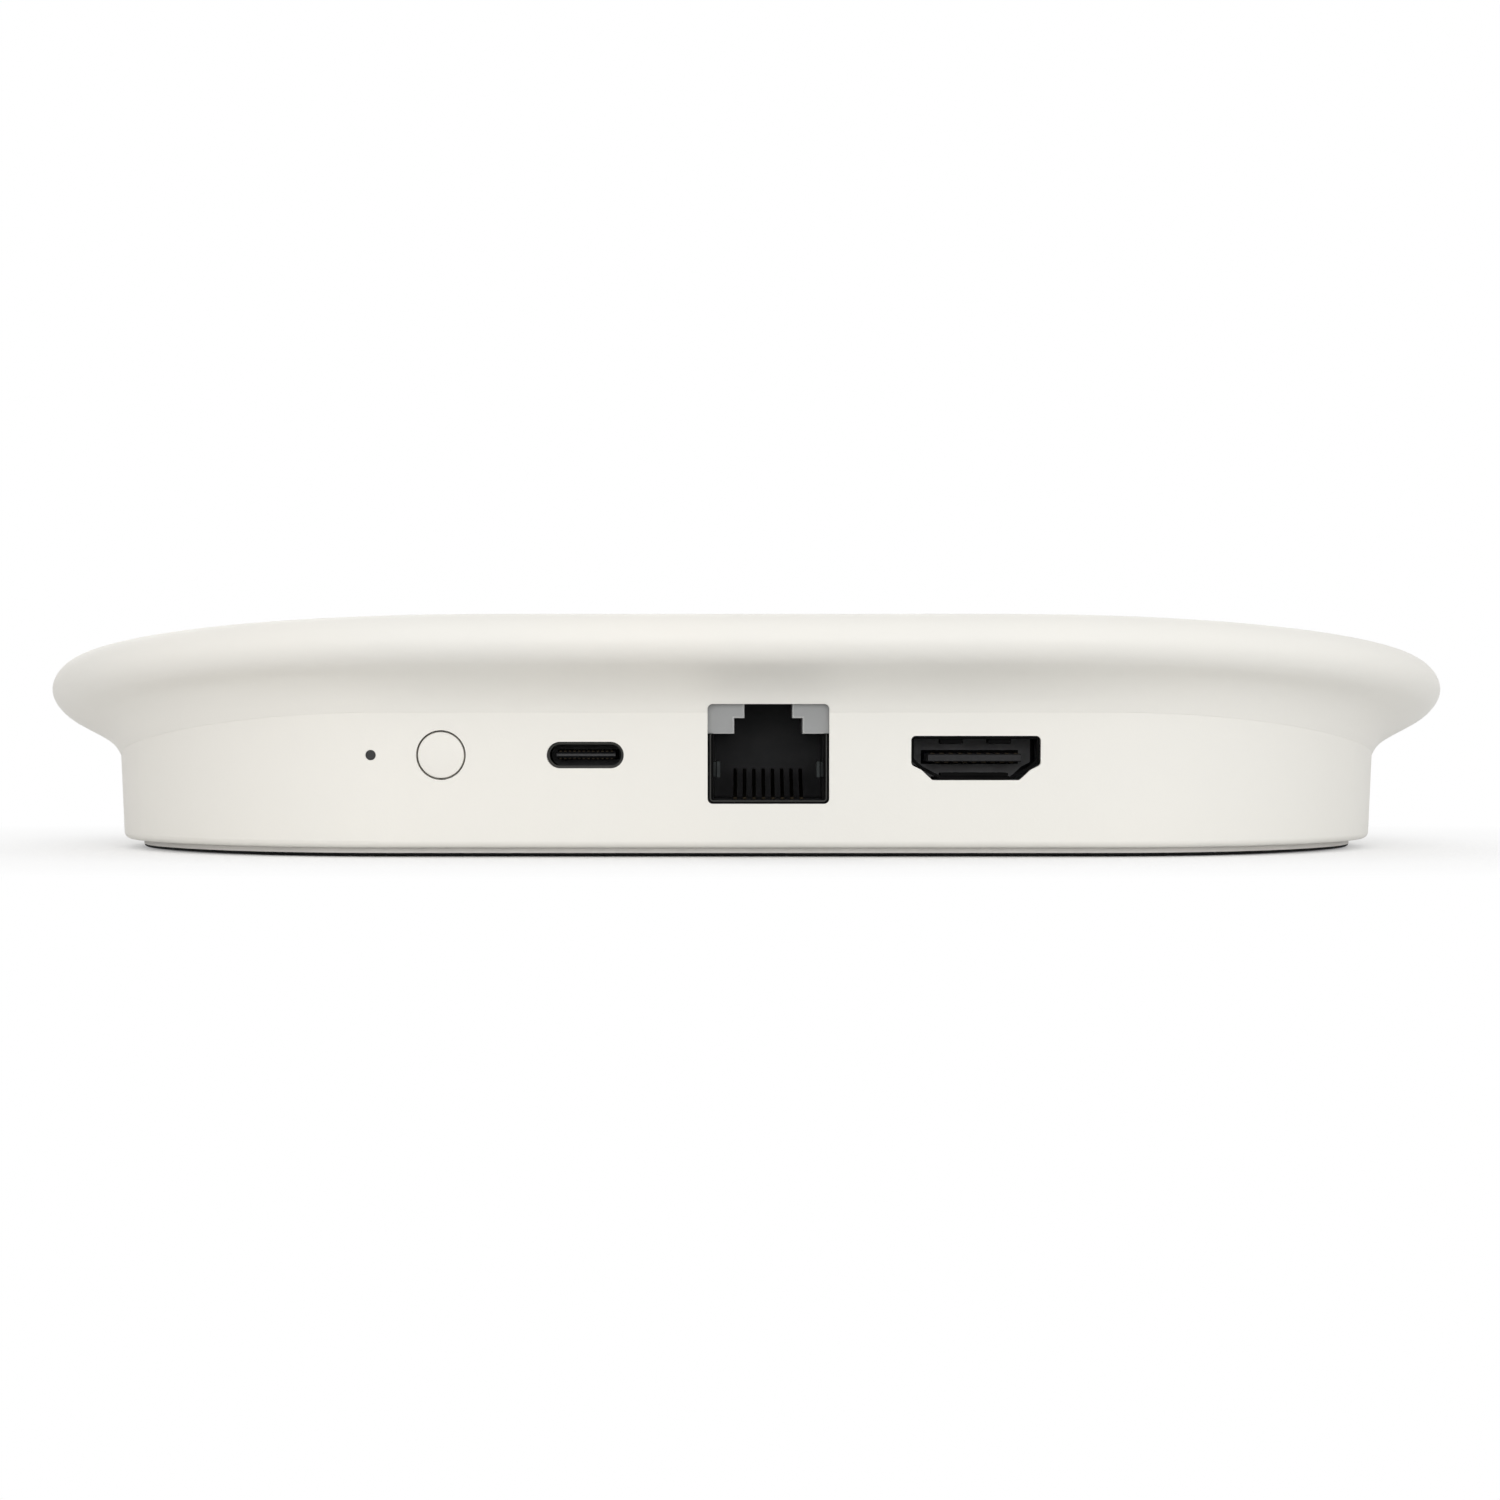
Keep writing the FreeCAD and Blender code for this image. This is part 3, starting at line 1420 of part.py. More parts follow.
form = cover_form()
nodes = {
    "top_cover": top_cover(form),
    "base_housing": base_housing(),
    "foot_pad": foot_pad(),
    "housing_screws": housing_screws(),
    "board_screws": board_screws(),
    "main_board": main_board(),
    "ballast_plate": ballast_plate(),
    "insulator_sheet": insulator_sheet(),
    "hdmi_shell": hdmi_shell(),
    "hdmi_tongue": hdmi_tongue(),
    "hdmi_contacts": hdmi_contacts(),
    "usb_shell": usb_shell(),
    "usb_tongue": usb_tongue(),
    "usb_contacts": usb_contacts(),
    "usb_riser": usb_riser(),
    "ethernet_housing": ethernet_housing(),
    "ethernet_shield": ethernet_shield(),
    "ethernet_contacts": ethernet_contacts(),
    "ethernet_light_windows": ethernet_light_windows(),
    "ethernet_leds": ethernet_leds(),
    "ethernet_transformer": ethernet_transformer(),
    "ethernet_chip": ethernet_chip(),
    "processor": processor(),
    "memory_chips": memory_chips(),
    "storage_chip": storage_chip(),
    "shield_frame": shield_frame(),
    "shield_lid": shield_lid(),
    "wireless_chip": wireless_chip(),
    "wireless_shield": wireless_shield(),
    "thermal_pads": thermal_pads(),
    "heat_spreader": heat_spreader(),
    "power_chip": power_chip(),
    "power_inductors": power_inductors(),
    "board_capacitors": board_capacitors(),
    "clock_crystal": clock_crystal(),
    "left_antenna": left_antenna(),
    "right_antenna": right_antenna(),
    "front_antenna": front_antenna(),
    "button_cap": button_cap(),
    "switch_plunger": switch_plunger(),
    "switch_body": switch_body(),
    "switch_dome": switch_dome(),
    "status_light_pipe": status_light_pipe(),
    "status_led": status_led(),
}
for name, shape in nodes.items():
    print(name, "valid" if shape.isValid() else "NOT VALID", len(shape.Solids), round(shape.Volume, 2))
    shape.exportStep(f"parts/{name}.step")
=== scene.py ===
import math

import bmesh
import bpy
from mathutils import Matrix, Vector


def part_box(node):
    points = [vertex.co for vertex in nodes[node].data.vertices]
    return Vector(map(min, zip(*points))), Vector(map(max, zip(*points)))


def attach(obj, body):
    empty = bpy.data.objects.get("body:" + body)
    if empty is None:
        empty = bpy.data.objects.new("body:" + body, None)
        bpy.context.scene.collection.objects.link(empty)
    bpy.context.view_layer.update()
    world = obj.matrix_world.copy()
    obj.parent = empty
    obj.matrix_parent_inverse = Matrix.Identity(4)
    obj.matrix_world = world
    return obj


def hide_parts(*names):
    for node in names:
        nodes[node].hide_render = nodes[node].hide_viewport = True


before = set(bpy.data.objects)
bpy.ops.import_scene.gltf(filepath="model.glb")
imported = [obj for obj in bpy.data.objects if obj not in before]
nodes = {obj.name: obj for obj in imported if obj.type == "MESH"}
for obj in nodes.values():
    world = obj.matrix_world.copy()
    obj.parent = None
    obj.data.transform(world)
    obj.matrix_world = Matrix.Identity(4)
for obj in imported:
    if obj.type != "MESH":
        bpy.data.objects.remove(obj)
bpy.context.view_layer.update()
print("frame loaded:", len(nodes), "nodes")

scene = bpy.context.scene
scene.view_settings.view_transform = "Standard"


# one socket of a tree of nodes: arithmetic on it adds Math nodes, and node() adds any other
class Field:
    def __init__(self, tree, socket=None):
        self.tree = tree
        self.socket = socket

    def node(self, kind, settings, sockets, output=0):
        node = self.tree.nodes.new(kind)
        for key, value in settings.items():
            if key == "stops":
                setStops(node.color_ramp, value)
            else:
                setattr(node, key, value)
        for key, value in sockets.items():
            plug(self.tree, value, node.inputs[key])
        return Field(self.tree, node.outputs[output])

    def maths(self, operation, first, second):
        return self.node("ShaderNodeMath", {"operation": operation}, {0: first, 1: second})

    def __add__(self, other):
        return self.maths("ADD", self, other)

    def __radd__(self, other):
        return self.maths("ADD", other, self)

    def __mul__(self, other):
        return self.maths("MULTIPLY", self, other)

    def __rmul__(self, other):
        return self.maths("MULTIPLY", other, self)

    def __truediv__(self, other):
        return self.maths("DIVIDE", self, other)

    def __rtruediv__(self, other):
        return self.maths("DIVIDE", other, self)

    def __pow__(self, other):
        return self.maths("POWER", self, other)

    def __rpow__(self, other):
        return self.maths("POWER", other, self)


def plug(tree, value, socket):
    if isinstance(value, Field):
        tree.links.new(value.socket, socket)
    else:
        socket.default_value = value


def setStops(ramp, stops):
    while len(ramp.elements) < len(stops):
        ramp.elements.new(0.5)
    for element, (position, colour) in zip(ramp.elements, stops):
        element.position = position
        element.color = colour


# the values of a noise between which a cloud goes from nothing to all
cloudRange = (0.3, 0.7)


# one material: constants go straight on the shader, fields are fed to it
class Finish:
    def __init__(self, name, **fixed):
        self.material = bpy.data.materials.new(name)
        self.material.use_nodes = True
        self.field = Field(self.material.node_tree)
        self.shader = self.material.node_tree.nodes["Principled BSDF"]
        for title, value in fixed.items():
            self.shader.inputs[title.replace("_", " ")].default_value = value
        self.place = self.field.node("ShaderNodeTexCoord", {}, {}, "Object")

    def axis(self, letter):
        return self.field.node("ShaderNodeSeparateXYZ", {}, {"Vector": self.place}, letter)

    def noise(self, scale, detail=2.0, place=None):
        return self.field.node("ShaderNodeTexNoise", {}, {
            "Vector": place or self.place, "Scale": scale, "Detail": detail, "Roughness": 0.5})

    def stretched(self, x, y, z):
        return self.field.node("ShaderNodeVectorMath", {"operation": "MULTIPLY"}, {
            0: self.place, 1: (x, y, z)})

    # eases from one value to another as the field goes from low to high
    def ease(self, field, low, high, first=0.0, last=1.0):
        return self.field.node("ShaderNodeMapRange", {"interpolation_type": "SMOOTHSTEP"}, {
            "Value": field, "From Min": low, "From Max": high, "To Min": first, "To Max": last})

    # a noise as soft spots of one value in another
    def cloud(self, scale, detail=2.0, place=None, first=0.0, last=1.0):
        return self.ease(self.noise(scale, detail, place), *cloudRange, first, last)

    def mix(self, factor, first, second):
        return self.field.node("ShaderNodeMix", {"data_type": "RGBA"}, {
            0: factor, 6: first, 7: second}, 2)

    def bump(self, height, distance, strength):
        return self.field.node("ShaderNodeBump", {}, {
            "Height": height, "Distance": distance, "Strength": strength})

    def feed(self, title, field):
        plug(self.material.node_tree, field, self.shader.inputs[title])

    # lets the roughness wander by a spread on either side of its middle
    def roughen(self, middle, spread, scale, place=None):
        wander = self.cloud(scale, place=place, first=middle - spread, last=middle + spread)
        self.feed("Roughness", wander)

    def grain(self, scale, height, strength, place=None):
        self.feed("Normal", self.bump(self.noise(scale, place=place), height, strength))


# a display colour, 0 to 255, as the shader's linear colour
def shade(red, green, blue):
    line = [c / 255 for c in (red, green, blue)]
    return tuple(c / 12.92 if c <= 0.04045 else ((c + 0.055) / 1.055) ** 2.4 for c in line) + (1.0,)


def scaled(colour, times, lift=0.0):
    return tuple(min(1.0, c * times + lift) for c in colour[:3]) + (1.0,)


def clearSelection():
    if bpy.context.object and bpy.context.object.mode != "OBJECT":
        bpy.ops.object.mode_set(mode="OBJECT")
    bpy.ops.object.select_all(action="DESELECT")


clearSelection()

shellLook = {
    "colour": shade(237, 234, 227),
    "cool": shade(235, 233, 227),
    "cloudScale": 22.0,
    "cloudRange": (0.35, 0.65),
    "wearScale": 90.0,
    "roughness": (0.46, 0.54),
    "grainScale": 3400.0,
    "grainHeight": 0.000012,
    "grainStrength": 0.6,
}


# matt moulded plastic with the fine even grain of a sparked mould
def shellFinish(name, look):
    finish = Finish(name, Specular_IOR_Level=0.4)
    cloud = finish.ease(finish.noise(look["cloudScale"], detail=3.0), *look["cloudRange"])
    finish.feed("Base Color", finish.mix(cloud, look["colour"], look["cool"]))
    finish.feed("Roughness", finish.cloud(look["wearScale"], 3.0, None, *look["roughness"]))
    finish.grain(look["grainScale"], look["grainHeight"], look["grainStrength"])
    return finish.material


# how much coarser than the grain the clouds of colour and roughness are, and how far they go
plasticLook = {
    "cloudCoarser": 8,
    "lift": 0.002,
    "wearCoarser": 4,
    "roughSpread": 0.05,
    "grainStrength": 0.6,
}


def plasticFinish(name, colour, roughness, grainScale, grainHeight, spread=0.12, **fixed):
    look = plasticLook
    finish = Finish(name, **fixed)
    cloud = finish.cloud(grainScale / look["cloudCoarser"], detail=3.0)
    finish.feed("Base Color", finish.mix(cloud, colour, scaled(colour, 1 + spread, look["lift"])))
    finish.roughen(roughness, look["roughSpread"], grainScale / look["wearCoarser"])
    finish.grain(grainScale, grainHeight, look["grainStrength"])
    return finish.material


metalLook = {
    "darken": 0.82,
    "wearFiner": 4,
    "roughSpread": 0.06,
    "grainFiner": 8,
    "grainHeight": 0.000004,
    "grainStrength": 0.5,
}


# rolled is how many times finer the marks are across the sheet than along it
def metalFinish(name, colour, roughness, scale=400.0, rolled=1.0):
    look = metalLook
    finish = Finish(name, Metallic=1.0)
    along = finish.stretched(1.0, rolled, rolled)
    cloud = finish.cloud(scale, detail=3.0, place=along)
    finish.feed("Base Color", finish.mix(cloud, colour, scaled(colour, look["darken"])))
    finish.roughen(roughness, look["roughSpread"], scale * look["wearFiner"], along)
    finish.grain(scale * look["grainFiner"], look["grainHeight"], look["grainStrength"], along)
    return finish.material


mouthLook = {
    "front": -0.02845,
    "reach": 0.0007,
    "darken": 0.85,
    "wearScale": 400.0,
    "wearFiner": 2,
    "roughSpread": 0.05,
    "grainScale": 3000.0,
    "grainHeight": 0.000008,
    "grainStrength": 0.6,
}

# the HDMI tongue's painted highlight starts further in, and gives way over a longer way to the
# inside colour, lifted as painted light against the shade deep in the socket
hdmiTongueLook = {**mouthLook, "front": -0.0272, "reach": 0.004}


# a socket's body: one colour where its rim faces out, easing to another deeper in. On the jack and
# the shells the black front is painted shade, where the sheet and the lip throw shade; on the HDMI
# tongue the grey nose is a painted highlight and the paler inside is lifted as painted light
# against the shade in the socket
def mouthPaintedLight(name, rim, inside, look, roughness, **fixed):
    finish = Finish(name, **fixed)
    # mask of painted light and shade by depth: the front colour at the socket's face, the inside
    # colour deeper in
    paintedLightFade = finish.ease(finish.axis("Y"), look["front"], look["front"] + look["reach"])
    cloud = finish.cloud(look["wearScale"], detail=3.0)
    worn = finish.mix(cloud, inside, scaled(inside, look["darken"]))
    finish.feed("Base Color", finish.mix(paintedLightFade, rim, worn))
    finish.roughen(roughness, look["roughSpread"], look["wearScale"] * look["wearFiner"])
    finish.grain(look["grainScale"], look["grainHeight"], look["grainStrength"])
    return finish.material


boardLook = {
    "mask": shade(18, 74, 52),
    "overCopper": shade(34, 112, 78),
    "via": shade(176, 172, 150),
    "trackPitch": 0.0009,
    "trackHalf": 0.00016,
    "trackFade": 0.8,
    "patchScale": 95.0,
    # values of the patches from and to which the tracks fade, and their amounts there
    "acrossPatches": (0.52, 0.53, 0.0, 1.0),
    "alongPatches": (0.46, 0.47, 1.0, 0.0),
    "viaScale": 420.0,
    "viaRadius": 0.17,
    "viaFade": 0.9,
    "viaMetallic": 0.8,
    "reliefHeight": 0.00003,
    "reliefStrength": 0.8,
}


# parallel tracks spaced along one axis, in bundles where the patches let them through
def boardTracks(finish, look, letter, patches, patchFade):
    line = finish.field.maths("PINGPONG", finish.axis(letter), look["trackPitch"] / 2)
    edge = look["trackHalf"]
    tracks = finish.ease(line, edge * look["trackFade"], edge, 1.0, 0.0)
    return tracks * finish.ease(patches, *patchFade)


# solder mask over copper: bundles of tracks one way and the other, planes between them, and vias
def boardMask(look):
    finish = Finish("solderMask", Roughness=0.32)
    patches = finish.noise(look["patchScale"], detail=1.0)
    across = boardTracks(finish, look, "X", patches, look["acrossPatches"])
    copper = across + boardTracks(finish, look, "Y", patches, look["alongPatches"])
    spots = finish.field.node("ShaderNodeTexVoronoi", {}, {
        "Vector": finish.place, "Scale": look["viaScale"]}, "Distance")
    radius = look["viaRadius"]
    via = finish.ease(spots, radius * look["viaFade"], radius, 1.0, 0.0)
    colour = finish.mix(copper, look["mask"], look["overCopper"])
    finish.feed("Base Color", finish.mix(via, colour, look["via"]))
    finish.feed("Metallic", via * look["viaMetallic"])
    finish.feed("Normal", finish.bump(copper + via, look["reliefHeight"], look["reliefStrength"]))
    return finish.material


# scale and height of the grain on the sockets' mouldings
socketGrain = (3000.0, 0.000008)

shell = shellFinish("shellPlastic", shellLook)
footFinish = plasticFinish("footSilicone", shade(224, 221, 216), 0.6, 1800.0, 0.00001, 0.03)
# the sole's near black is painted shade: the contact shadow under the foot
soleShadeFinish = plasticFinish("solePaintedShade", shade(26, 26, 26), 0.75, 1500.0, 0.00003, 0.3,
                           Specular_IOR_Level=0.1)
socketPlastic = plasticFinish("socketPlastic", shade(19, 19, 20), 0.55, *socketGrain,
                              Specular_IOR_Level=0.12)
# the USB tongue's black plastic lifted to grey: a painted highlight on its lit nose
tongueHighlightFinish = plasticFinish("tonguePaintedHighlight", shade(60, 60, 61), 0.5, *socketGrain,
                             Specular_IOR_Level=0.15)
# first colour painted at the socket's front, second deeper in: painted shade on the jack and the
# shells, painted highlight and painted light on the HDMI tongue
hdmiTongueFinish = mouthPaintedLight("hdmiTonguePlastic", shade(46, 46, 47), shade(116, 116, 117),
                               hdmiTongueLook, 0.5, Specular_IOR_Level=0.1)
# near black painted shade, for the tongues' margins and the HDMI's frame and springs, which sit in
# shade
shadeBlackFinish = plasticFinish("paintedShadeBlack", shade(5, 5, 5), 0.6, *socketGrain,
                           Specular_IOR_Level=0.03)
# grey of the thin rings in the USB and jack mouths: partly the edge's own colour, partly a painted
# highlight where the edge catches light
lipHighlightFinish = plasticFinish("lipPaintedHighlight", shade(56, 56, 54), 0.5, 3000.0, 0.000004,
                          Specular_IOR_Level=0.15)
jackPlastic = mouthPaintedLight("jackPlastic", shade(4, 4, 4), shade(54, 54, 55), mouthLook, 0.55,
                          Specular_IOR_Level=0.03)
hdmiMetal = mouthPaintedLight("hdmiMetal", shade(8, 8, 8), shade(64, 65, 66), mouthLook, 0.42,
                        Metallic=1.0)
usbMetal = mouthPaintedLight("usbMetal", shade(8, 8, 8), shade(22, 22, 22), mouthLook, 0.42,
                       Metallic=1.0)
socketMetal = metalFinish("socketMetal", shade(38, 40, 40), 0.42)
# the contacts' gold darkened to a deep brown: painted shade inside the sockets
goldFinish = metalFinish("contactGold", shade(36, 31, 23), 0.4, 900.0)
windowFinish = plasticFinish("milkyWindow", shade(148, 149, 149), 0.35, 1500.0, 0.000004, 0.05,
                             Specular_IOR_Level=0.3)
# a paler copy of the window colour for the bevelled edges: painted highlight
windowHighlight = plasticFinish("windowPaintedHighlight", shade(190, 191, 190), 0.3, 1500.0, 0.000004, 0.05)
lightPipeFinish = plasticFinish("smokedLight", shade(52, 52, 52), 0.25, 1500.0, 0.000002,
                                Specular_IOR_Level=0.2)
screwFinish = metalFinish("blackSteel", shade(62, 62, 64), 0.4)
spreaderFinish = metalFinish("castAluminium", shade(205, 205, 206), 0.5)
ballastFinish = metalFinish("zincSheet", shade(168, 170, 172), 0.38, 260.0, 9.0)
canFinish = metalFinish("nickelSheet", shade(190, 189, 184), 0.34, 400.0, 6.0)
chipFinish = plasticFinish("chipMoulding", shade(38, 38, 40), 0.55, 4200.0, 0.00001)
inductorFinish = plasticFinish("ironPowder", shade(92, 92, 95), 0.7, 2600.0, 0.00003, 0.3)
ceramicFinish = plasticFinish("ceramic", shade(184, 160, 132), 0.5, 1500.0, 0.00001)
padFinish = plasticFinish("thermalPad", shade(158, 178, 196), 0.7, 900.0, 0.00004, 0.1)
filmFinish = plasticFinish("insulatorFilm", shade(44, 44, 46), 0.35, 700.0, 0.000005)
plungerFinish = plasticFinish("redMoulding", shade(186, 66, 44), 0.45, 1500.0, 0.00001)
ledFinish = plasticFinish("ledLens", shade(232, 230, 214), 0.3, 1200.0, 0.000004)
boardFinish = boardMask(boardLook)

looks = {
    shell: ["top_cover", "base_housing", "button_cap"],
    footFinish: ["foot_pad"],
    lightPipeFinish: ["status_light_pipe"],
    windowFinish: ["ethernet_light_windows"],
    tongueHighlightFinish: ["usb_tongue"],
    hdmiTongueFinish: ["hdmi_tongue"],
    socketPlastic: ["usb_riser", "switch_body"],
    jackPlastic: ["ethernet_housing"],
    hdmiMetal: ["hdmi_shell"],
    usbMetal: ["usb_shell"],
    socketMetal: ["ethernet_shield"],
    canFinish: ["shield_frame", "shield_lid", "wireless_shield", "left_antenna", "right_antenna",
                "front_antenna", "switch_dome", "clock_crystal"],
    goldFinish: ["usb_contacts", "hdmi_contacts", "ethernet_contacts"],
    screwFinish: ["housing_screws", "board_screws"],
    boardFinish: ["main_board"],
    chipFinish: ["processor", "memory_chips", "storage_chip", "wireless_chip", "ethernet_chip",
                 "power_chip", "ethernet_transformer"],
    inductorFinish: ["power_inductors"],
    ceramicFinish: ["board_capacitors"],
    ledFinish: ["status_led", "ethernet_leds"],
    padFinish: ["thermal_pads"],
    spreaderFinish: ["heat_spreader"],
    ballastFinish: ["ballast_plate"],
    filmFinish: ["insulator_sheet"],
    plungerFinish: ["switch_plunger"],
}
for material, names in looks.items():
    for name in names:
        for place in nodes[name].material_slots:
            place.material = material
print("finishes on", sum(len(names) for names in looks.values()), "nodes")


def startEdit(piece):
    clearSelection()
    bpy.context.view_layer.objects.active = piece
    piece.select_set(True)
    bpy.ops.object.mode_set(mode="EDIT")
    bpy.ops.mesh.select_all(action="DESELECT")


# how squarely a face looks, or an edge runs, along an axis to be picked for it
squareFace = 0.99
squareEdge = 0.9


# selects the faces whose middle and normal pass the test
def pickFaces(test):
    bpy.ops.mesh.select_mode(type="FACE")
    bpy.ops.mesh.select_all(action="DESELECT")
    data = bpy.context.object.data
    mesh = bmesh.from_edit_mesh(data)
    for face in mesh.faces:
        if test(face.calc_center_median(), face.normal):
            face.select_set(True)
    bmesh.update_edit_mesh(data)


# selects the edges whose middle and direction pass the test
def pickEdges(test):
    bpy.ops.mesh.select_mode(type="EDGE")
    bpy.ops.mesh.select_all(action="DESELECT")
    data = bpy.context.object.data
    mesh = bmesh.from_edit_mesh(data)
    for edge in mesh.edges:
        start, stop = edge.verts[0].co, edge.verts[1].co
        if test((start + stop) / 2, (stop - start).normalized()):
            edge.select_set(True)
    bmesh.update_edit_mesh(data)


# how near two points count as one, and a point as lying on a cut, in metres
samePlace = 0.000001


# a copy of a CAD node with its own finishes, welded and open for editing
def weldedCopy(node, name, *finishes):
    data = nodes[node].data.copy()
    data.materials.clear()
    for material in finishes:
        data.materials.append(material)
    piece = bpy.data.objects.new(name, data)
    scene.collection.objects.link(piece)
    startEdit(piece)
    bpy.ops.mesh.customdata_custom_splitnormals_clear()
    bpy.ops.mesh.select_all(action="SELECT")
    bpy.ops.mesh.remove_doubles(threshold=samePlace)
    bpy.ops.mesh.select_all(action="DESELECT")
    return piece


# gives a new primitive its name, finish and size, and opens it for editing
def shapeNew(name, finish, size):
    piece = bpy.context.object
    piece.name = name
    piece.data.materials.append(finish)
    piece.scale = size
    bpy.ops.object.transform_apply(location=True, rotation=True, scale=True)
    startEdit(piece)
    return piece


def makeBlock(name, finish, middle, size):
    bpy.ops.mesh.primitive_cube_add(size=1.0, location=middle)
    return shapeNew(name, finish, size)


# closes the editing and puts the piece on its body, for the CAD nodes that it stands for
def settle(piece, body, stands=(), angle=30.0):
    bpy.ops.object.mode_set(mode="OBJECT")
    bpy.ops.object.shade_smooth_by_angle(angle=math.radians(angle))
    clearSelection()
    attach(piece, body)
    if stands:
        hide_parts(*stands)
    print(piece.name, len(piece.data.polygons), "faces")
    return piece


footLook = {
    "soleHeight": 0.00032,
    "soleRim": 0.0020,
    "soleSlope": 0.0003,
    "soleField": 0.00012,
    # so square that the rounded edge of the pad's underside isn't picked with it
    "flatDown": 0.999,
}


# the pale rim of the foot, and under it the sole that touches the table, painted dark as the
# contact shadow under the foot
def makeFoot(look):
    line = {"plane_co": (0, 0, look["soleHeight"]), "plane_no": (0, 0, 1), "use_fill": True,
            "threshold": samePlace}
    rim = weldedCopy("foot_pad", "footRim", footFinish)
    bpy.ops.mesh.select_all(action="SELECT")
    bpy.ops.mesh.bisect(clear_inner=True, **line)
    settle(rim, "housing", ["foot_pad"])
    sole = weldedCopy("foot_pad", "footSole", soleShadeFinish)
    bpy.ops.mesh.select_all(action="SELECT")
    bpy.ops.mesh.bisect(clear_outer=True, **line)
    pickFaces(lambda middle, normal: normal.z < -look["flatDown"])
    bpy.ops.mesh.dissolve_faces()
    bpy.ops.mesh.inset(thickness=look["soleRim"], depth=0.0)
    bpy.ops.mesh.inset(thickness=look["soleSlope"], depth=-look["soleField"])
    settle(sole, "housing", ["foot_pad"])


makeFoot(footLook)

buttonLook = {"faceDepth": 0.0004, "softEdge": 0.00012, "softSteps": 3}


# the cap of the button, with a soft edge round its face
def makeButton(look):
    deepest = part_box("button_cap")[0][1] + look["faceDepth"]
    cap = weldedCopy("button_cap", "buttonCap", shell)
    pickFaces(lambda middle, normal: normal.y < -squareFace and middle.y < deepest)
    bpy.ops.mesh.dissolve_faces()
    bpy.ops.mesh.region_to_loop()
    bpy.ops.mesh.bevel(offset=look["softEdge"], segments=look["softSteps"], affect="EDGES")
    settle(cap, "button", ["button_cap"])


makeButton(buttonLook)

tongueLook = {
    "noseDepth": 0.00002,
    "blockBehind": 0.001,
    # depth of the black margin of painted shade as a share of its width
    "marginDepth": 0.25,
    # name, finish, chamfer on the nose, black margin painted as shade round the face of the block
    # behind
    "usb_tongue": ("usbTongue", tongueHighlightFinish, 0.00023, 0.00020),
    "hdmi_tongue": ("hdmiTongue", hdmiTongueFinish, 0.00010, 0.00034),
}


# the tongues of the two flat sockets, with their noses chamfered above and below; the tongue's grey
# is a painted highlight on black plastic, the chamfers keep the socket's black, and the block
# behind gets a black margin of painted shade
def makeTongue(node, name, finish, chamfer, margin, look):
    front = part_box(node)[0][1]
    nose, block = front + look["noseDepth"], front + look["blockBehind"]
    # plain carries the tongue's painted highlight, cut the socket's own black on the chamfers,
    # black the margin of painted shade
    plain, cut, black = range(3)
    tongue = weldedCopy(node, name, finish, socketPlastic, shadeBlackFinish)
    pickFaces(lambda middle, normal: normal.y < -squareFace and middle.y > block)
    tongue.active_material_index = black
    bpy.ops.object.material_slot_assign()
    bpy.ops.mesh.inset(thickness=margin, depth=-margin * look["marginDepth"])
    tongue.active_material_index = plain
    bpy.ops.object.material_slot_assign()
    pickFaces(lambda middle, normal: normal.y < -squareFace and middle.y < nose)
    bpy.ops.mesh.dissolve_faces()
    pickEdges(lambda middle, run: abs(run.x) > squareEdge and middle.y < nose)
    bpy.ops.mesh.bevel(offset=chamfer, segments=1, affect="EDGES", material=cut)
    settle(tongue, "housing", [node])


for node in ("usb_tongue", "hdmi_tongue"):
    makeTongue(node, *tongueLook[node], tongueLook)

lipLook = {
    "cornerSteps": 8,
    # low and high corners as x and z, front, corner radius, width and depth, in metres
    "usbLip": ((-0.02140, 0.00940), (-0.01300, 0.01240), -0.02846, 0.00149, 0.00036, 0.00012),
    "jackLip": ((-0.00392, 0.00591), (0.00862, 0.01635), -0.02850, 0.00036, 0.00013, 0.00008),
    "hdmiLip": ((0.01759, 0.00822), (0.03141, 0.01294), -0.02850, 0.00030, 0.00034, 0.00008),
    # the jack's rim ends below its light windows
    "jackLipTop": 0.01310,
    # both lower corners of the HDMI mouth are cut twice: a point from the middle, and the way out
    "hdmiCuts": (
        ((0.00691, -0.00071), (0.4439, -0.8961)),
        ((0.00584, -0.00124), (0.6823, -0.7311)),
    ),
}


# a thin frame in a socket's mouth, its outline cut first where the mouth is slanted; its grey is
# partly the edge's own colour and partly a painted highlight along the mouth's edge
def makeLip(name, low, high, front, corner, width, depth, look, finish=lipHighlightFinish, cuts=()):
    middle = ((low[0] + high[0]) / 2, front, (low[1] + high[1]) / 2)
    bpy.ops.mesh.primitive_plane_add(size=1.0, location=middle, rotation=(math.pi / 2, 0, 0))
    lip = shapeNew(name, finish, (high[0] - low[0], high[1] - low[1], 1.0))
    for side in (-1, 1):
        for (x, z), (outX, outZ) in cuts:
            bpy.ops.mesh.select_all(action="SELECT")
            bpy.ops.mesh.bisect(plane_co=(middle[0] + side * x, front, middle[2] + z),
                                plane_no=(side * outX, 0, outZ), clear_outer=True,
                                threshold=samePlace)
    bpy.ops.mesh.select_all(action="SELECT")
    bpy.ops.mesh.bevel(offset=corner, segments=look["cornerSteps"], affect="VERTICES")
    bpy.ops.mesh.select_all(action="SELECT")
    bpy.ops.mesh.inset(thickness=width, depth=0.0)
    bpy.ops.mesh.delete(type="FACE")
    bpy.ops.mesh.select_all(action="SELECT")
    bpy.ops.mesh.extrude_region_move(TRANSFORM_OT_translate={"value": (0, depth, 0)})
    bpy.ops.mesh.select_all(action="SELECT")
    return lip


def settleLip(lip):
    bpy.ops.mesh.select_all(action="SELECT")
    bpy.ops.mesh.normals_make_consistent(inside=False)
    settle(lip, "housing")


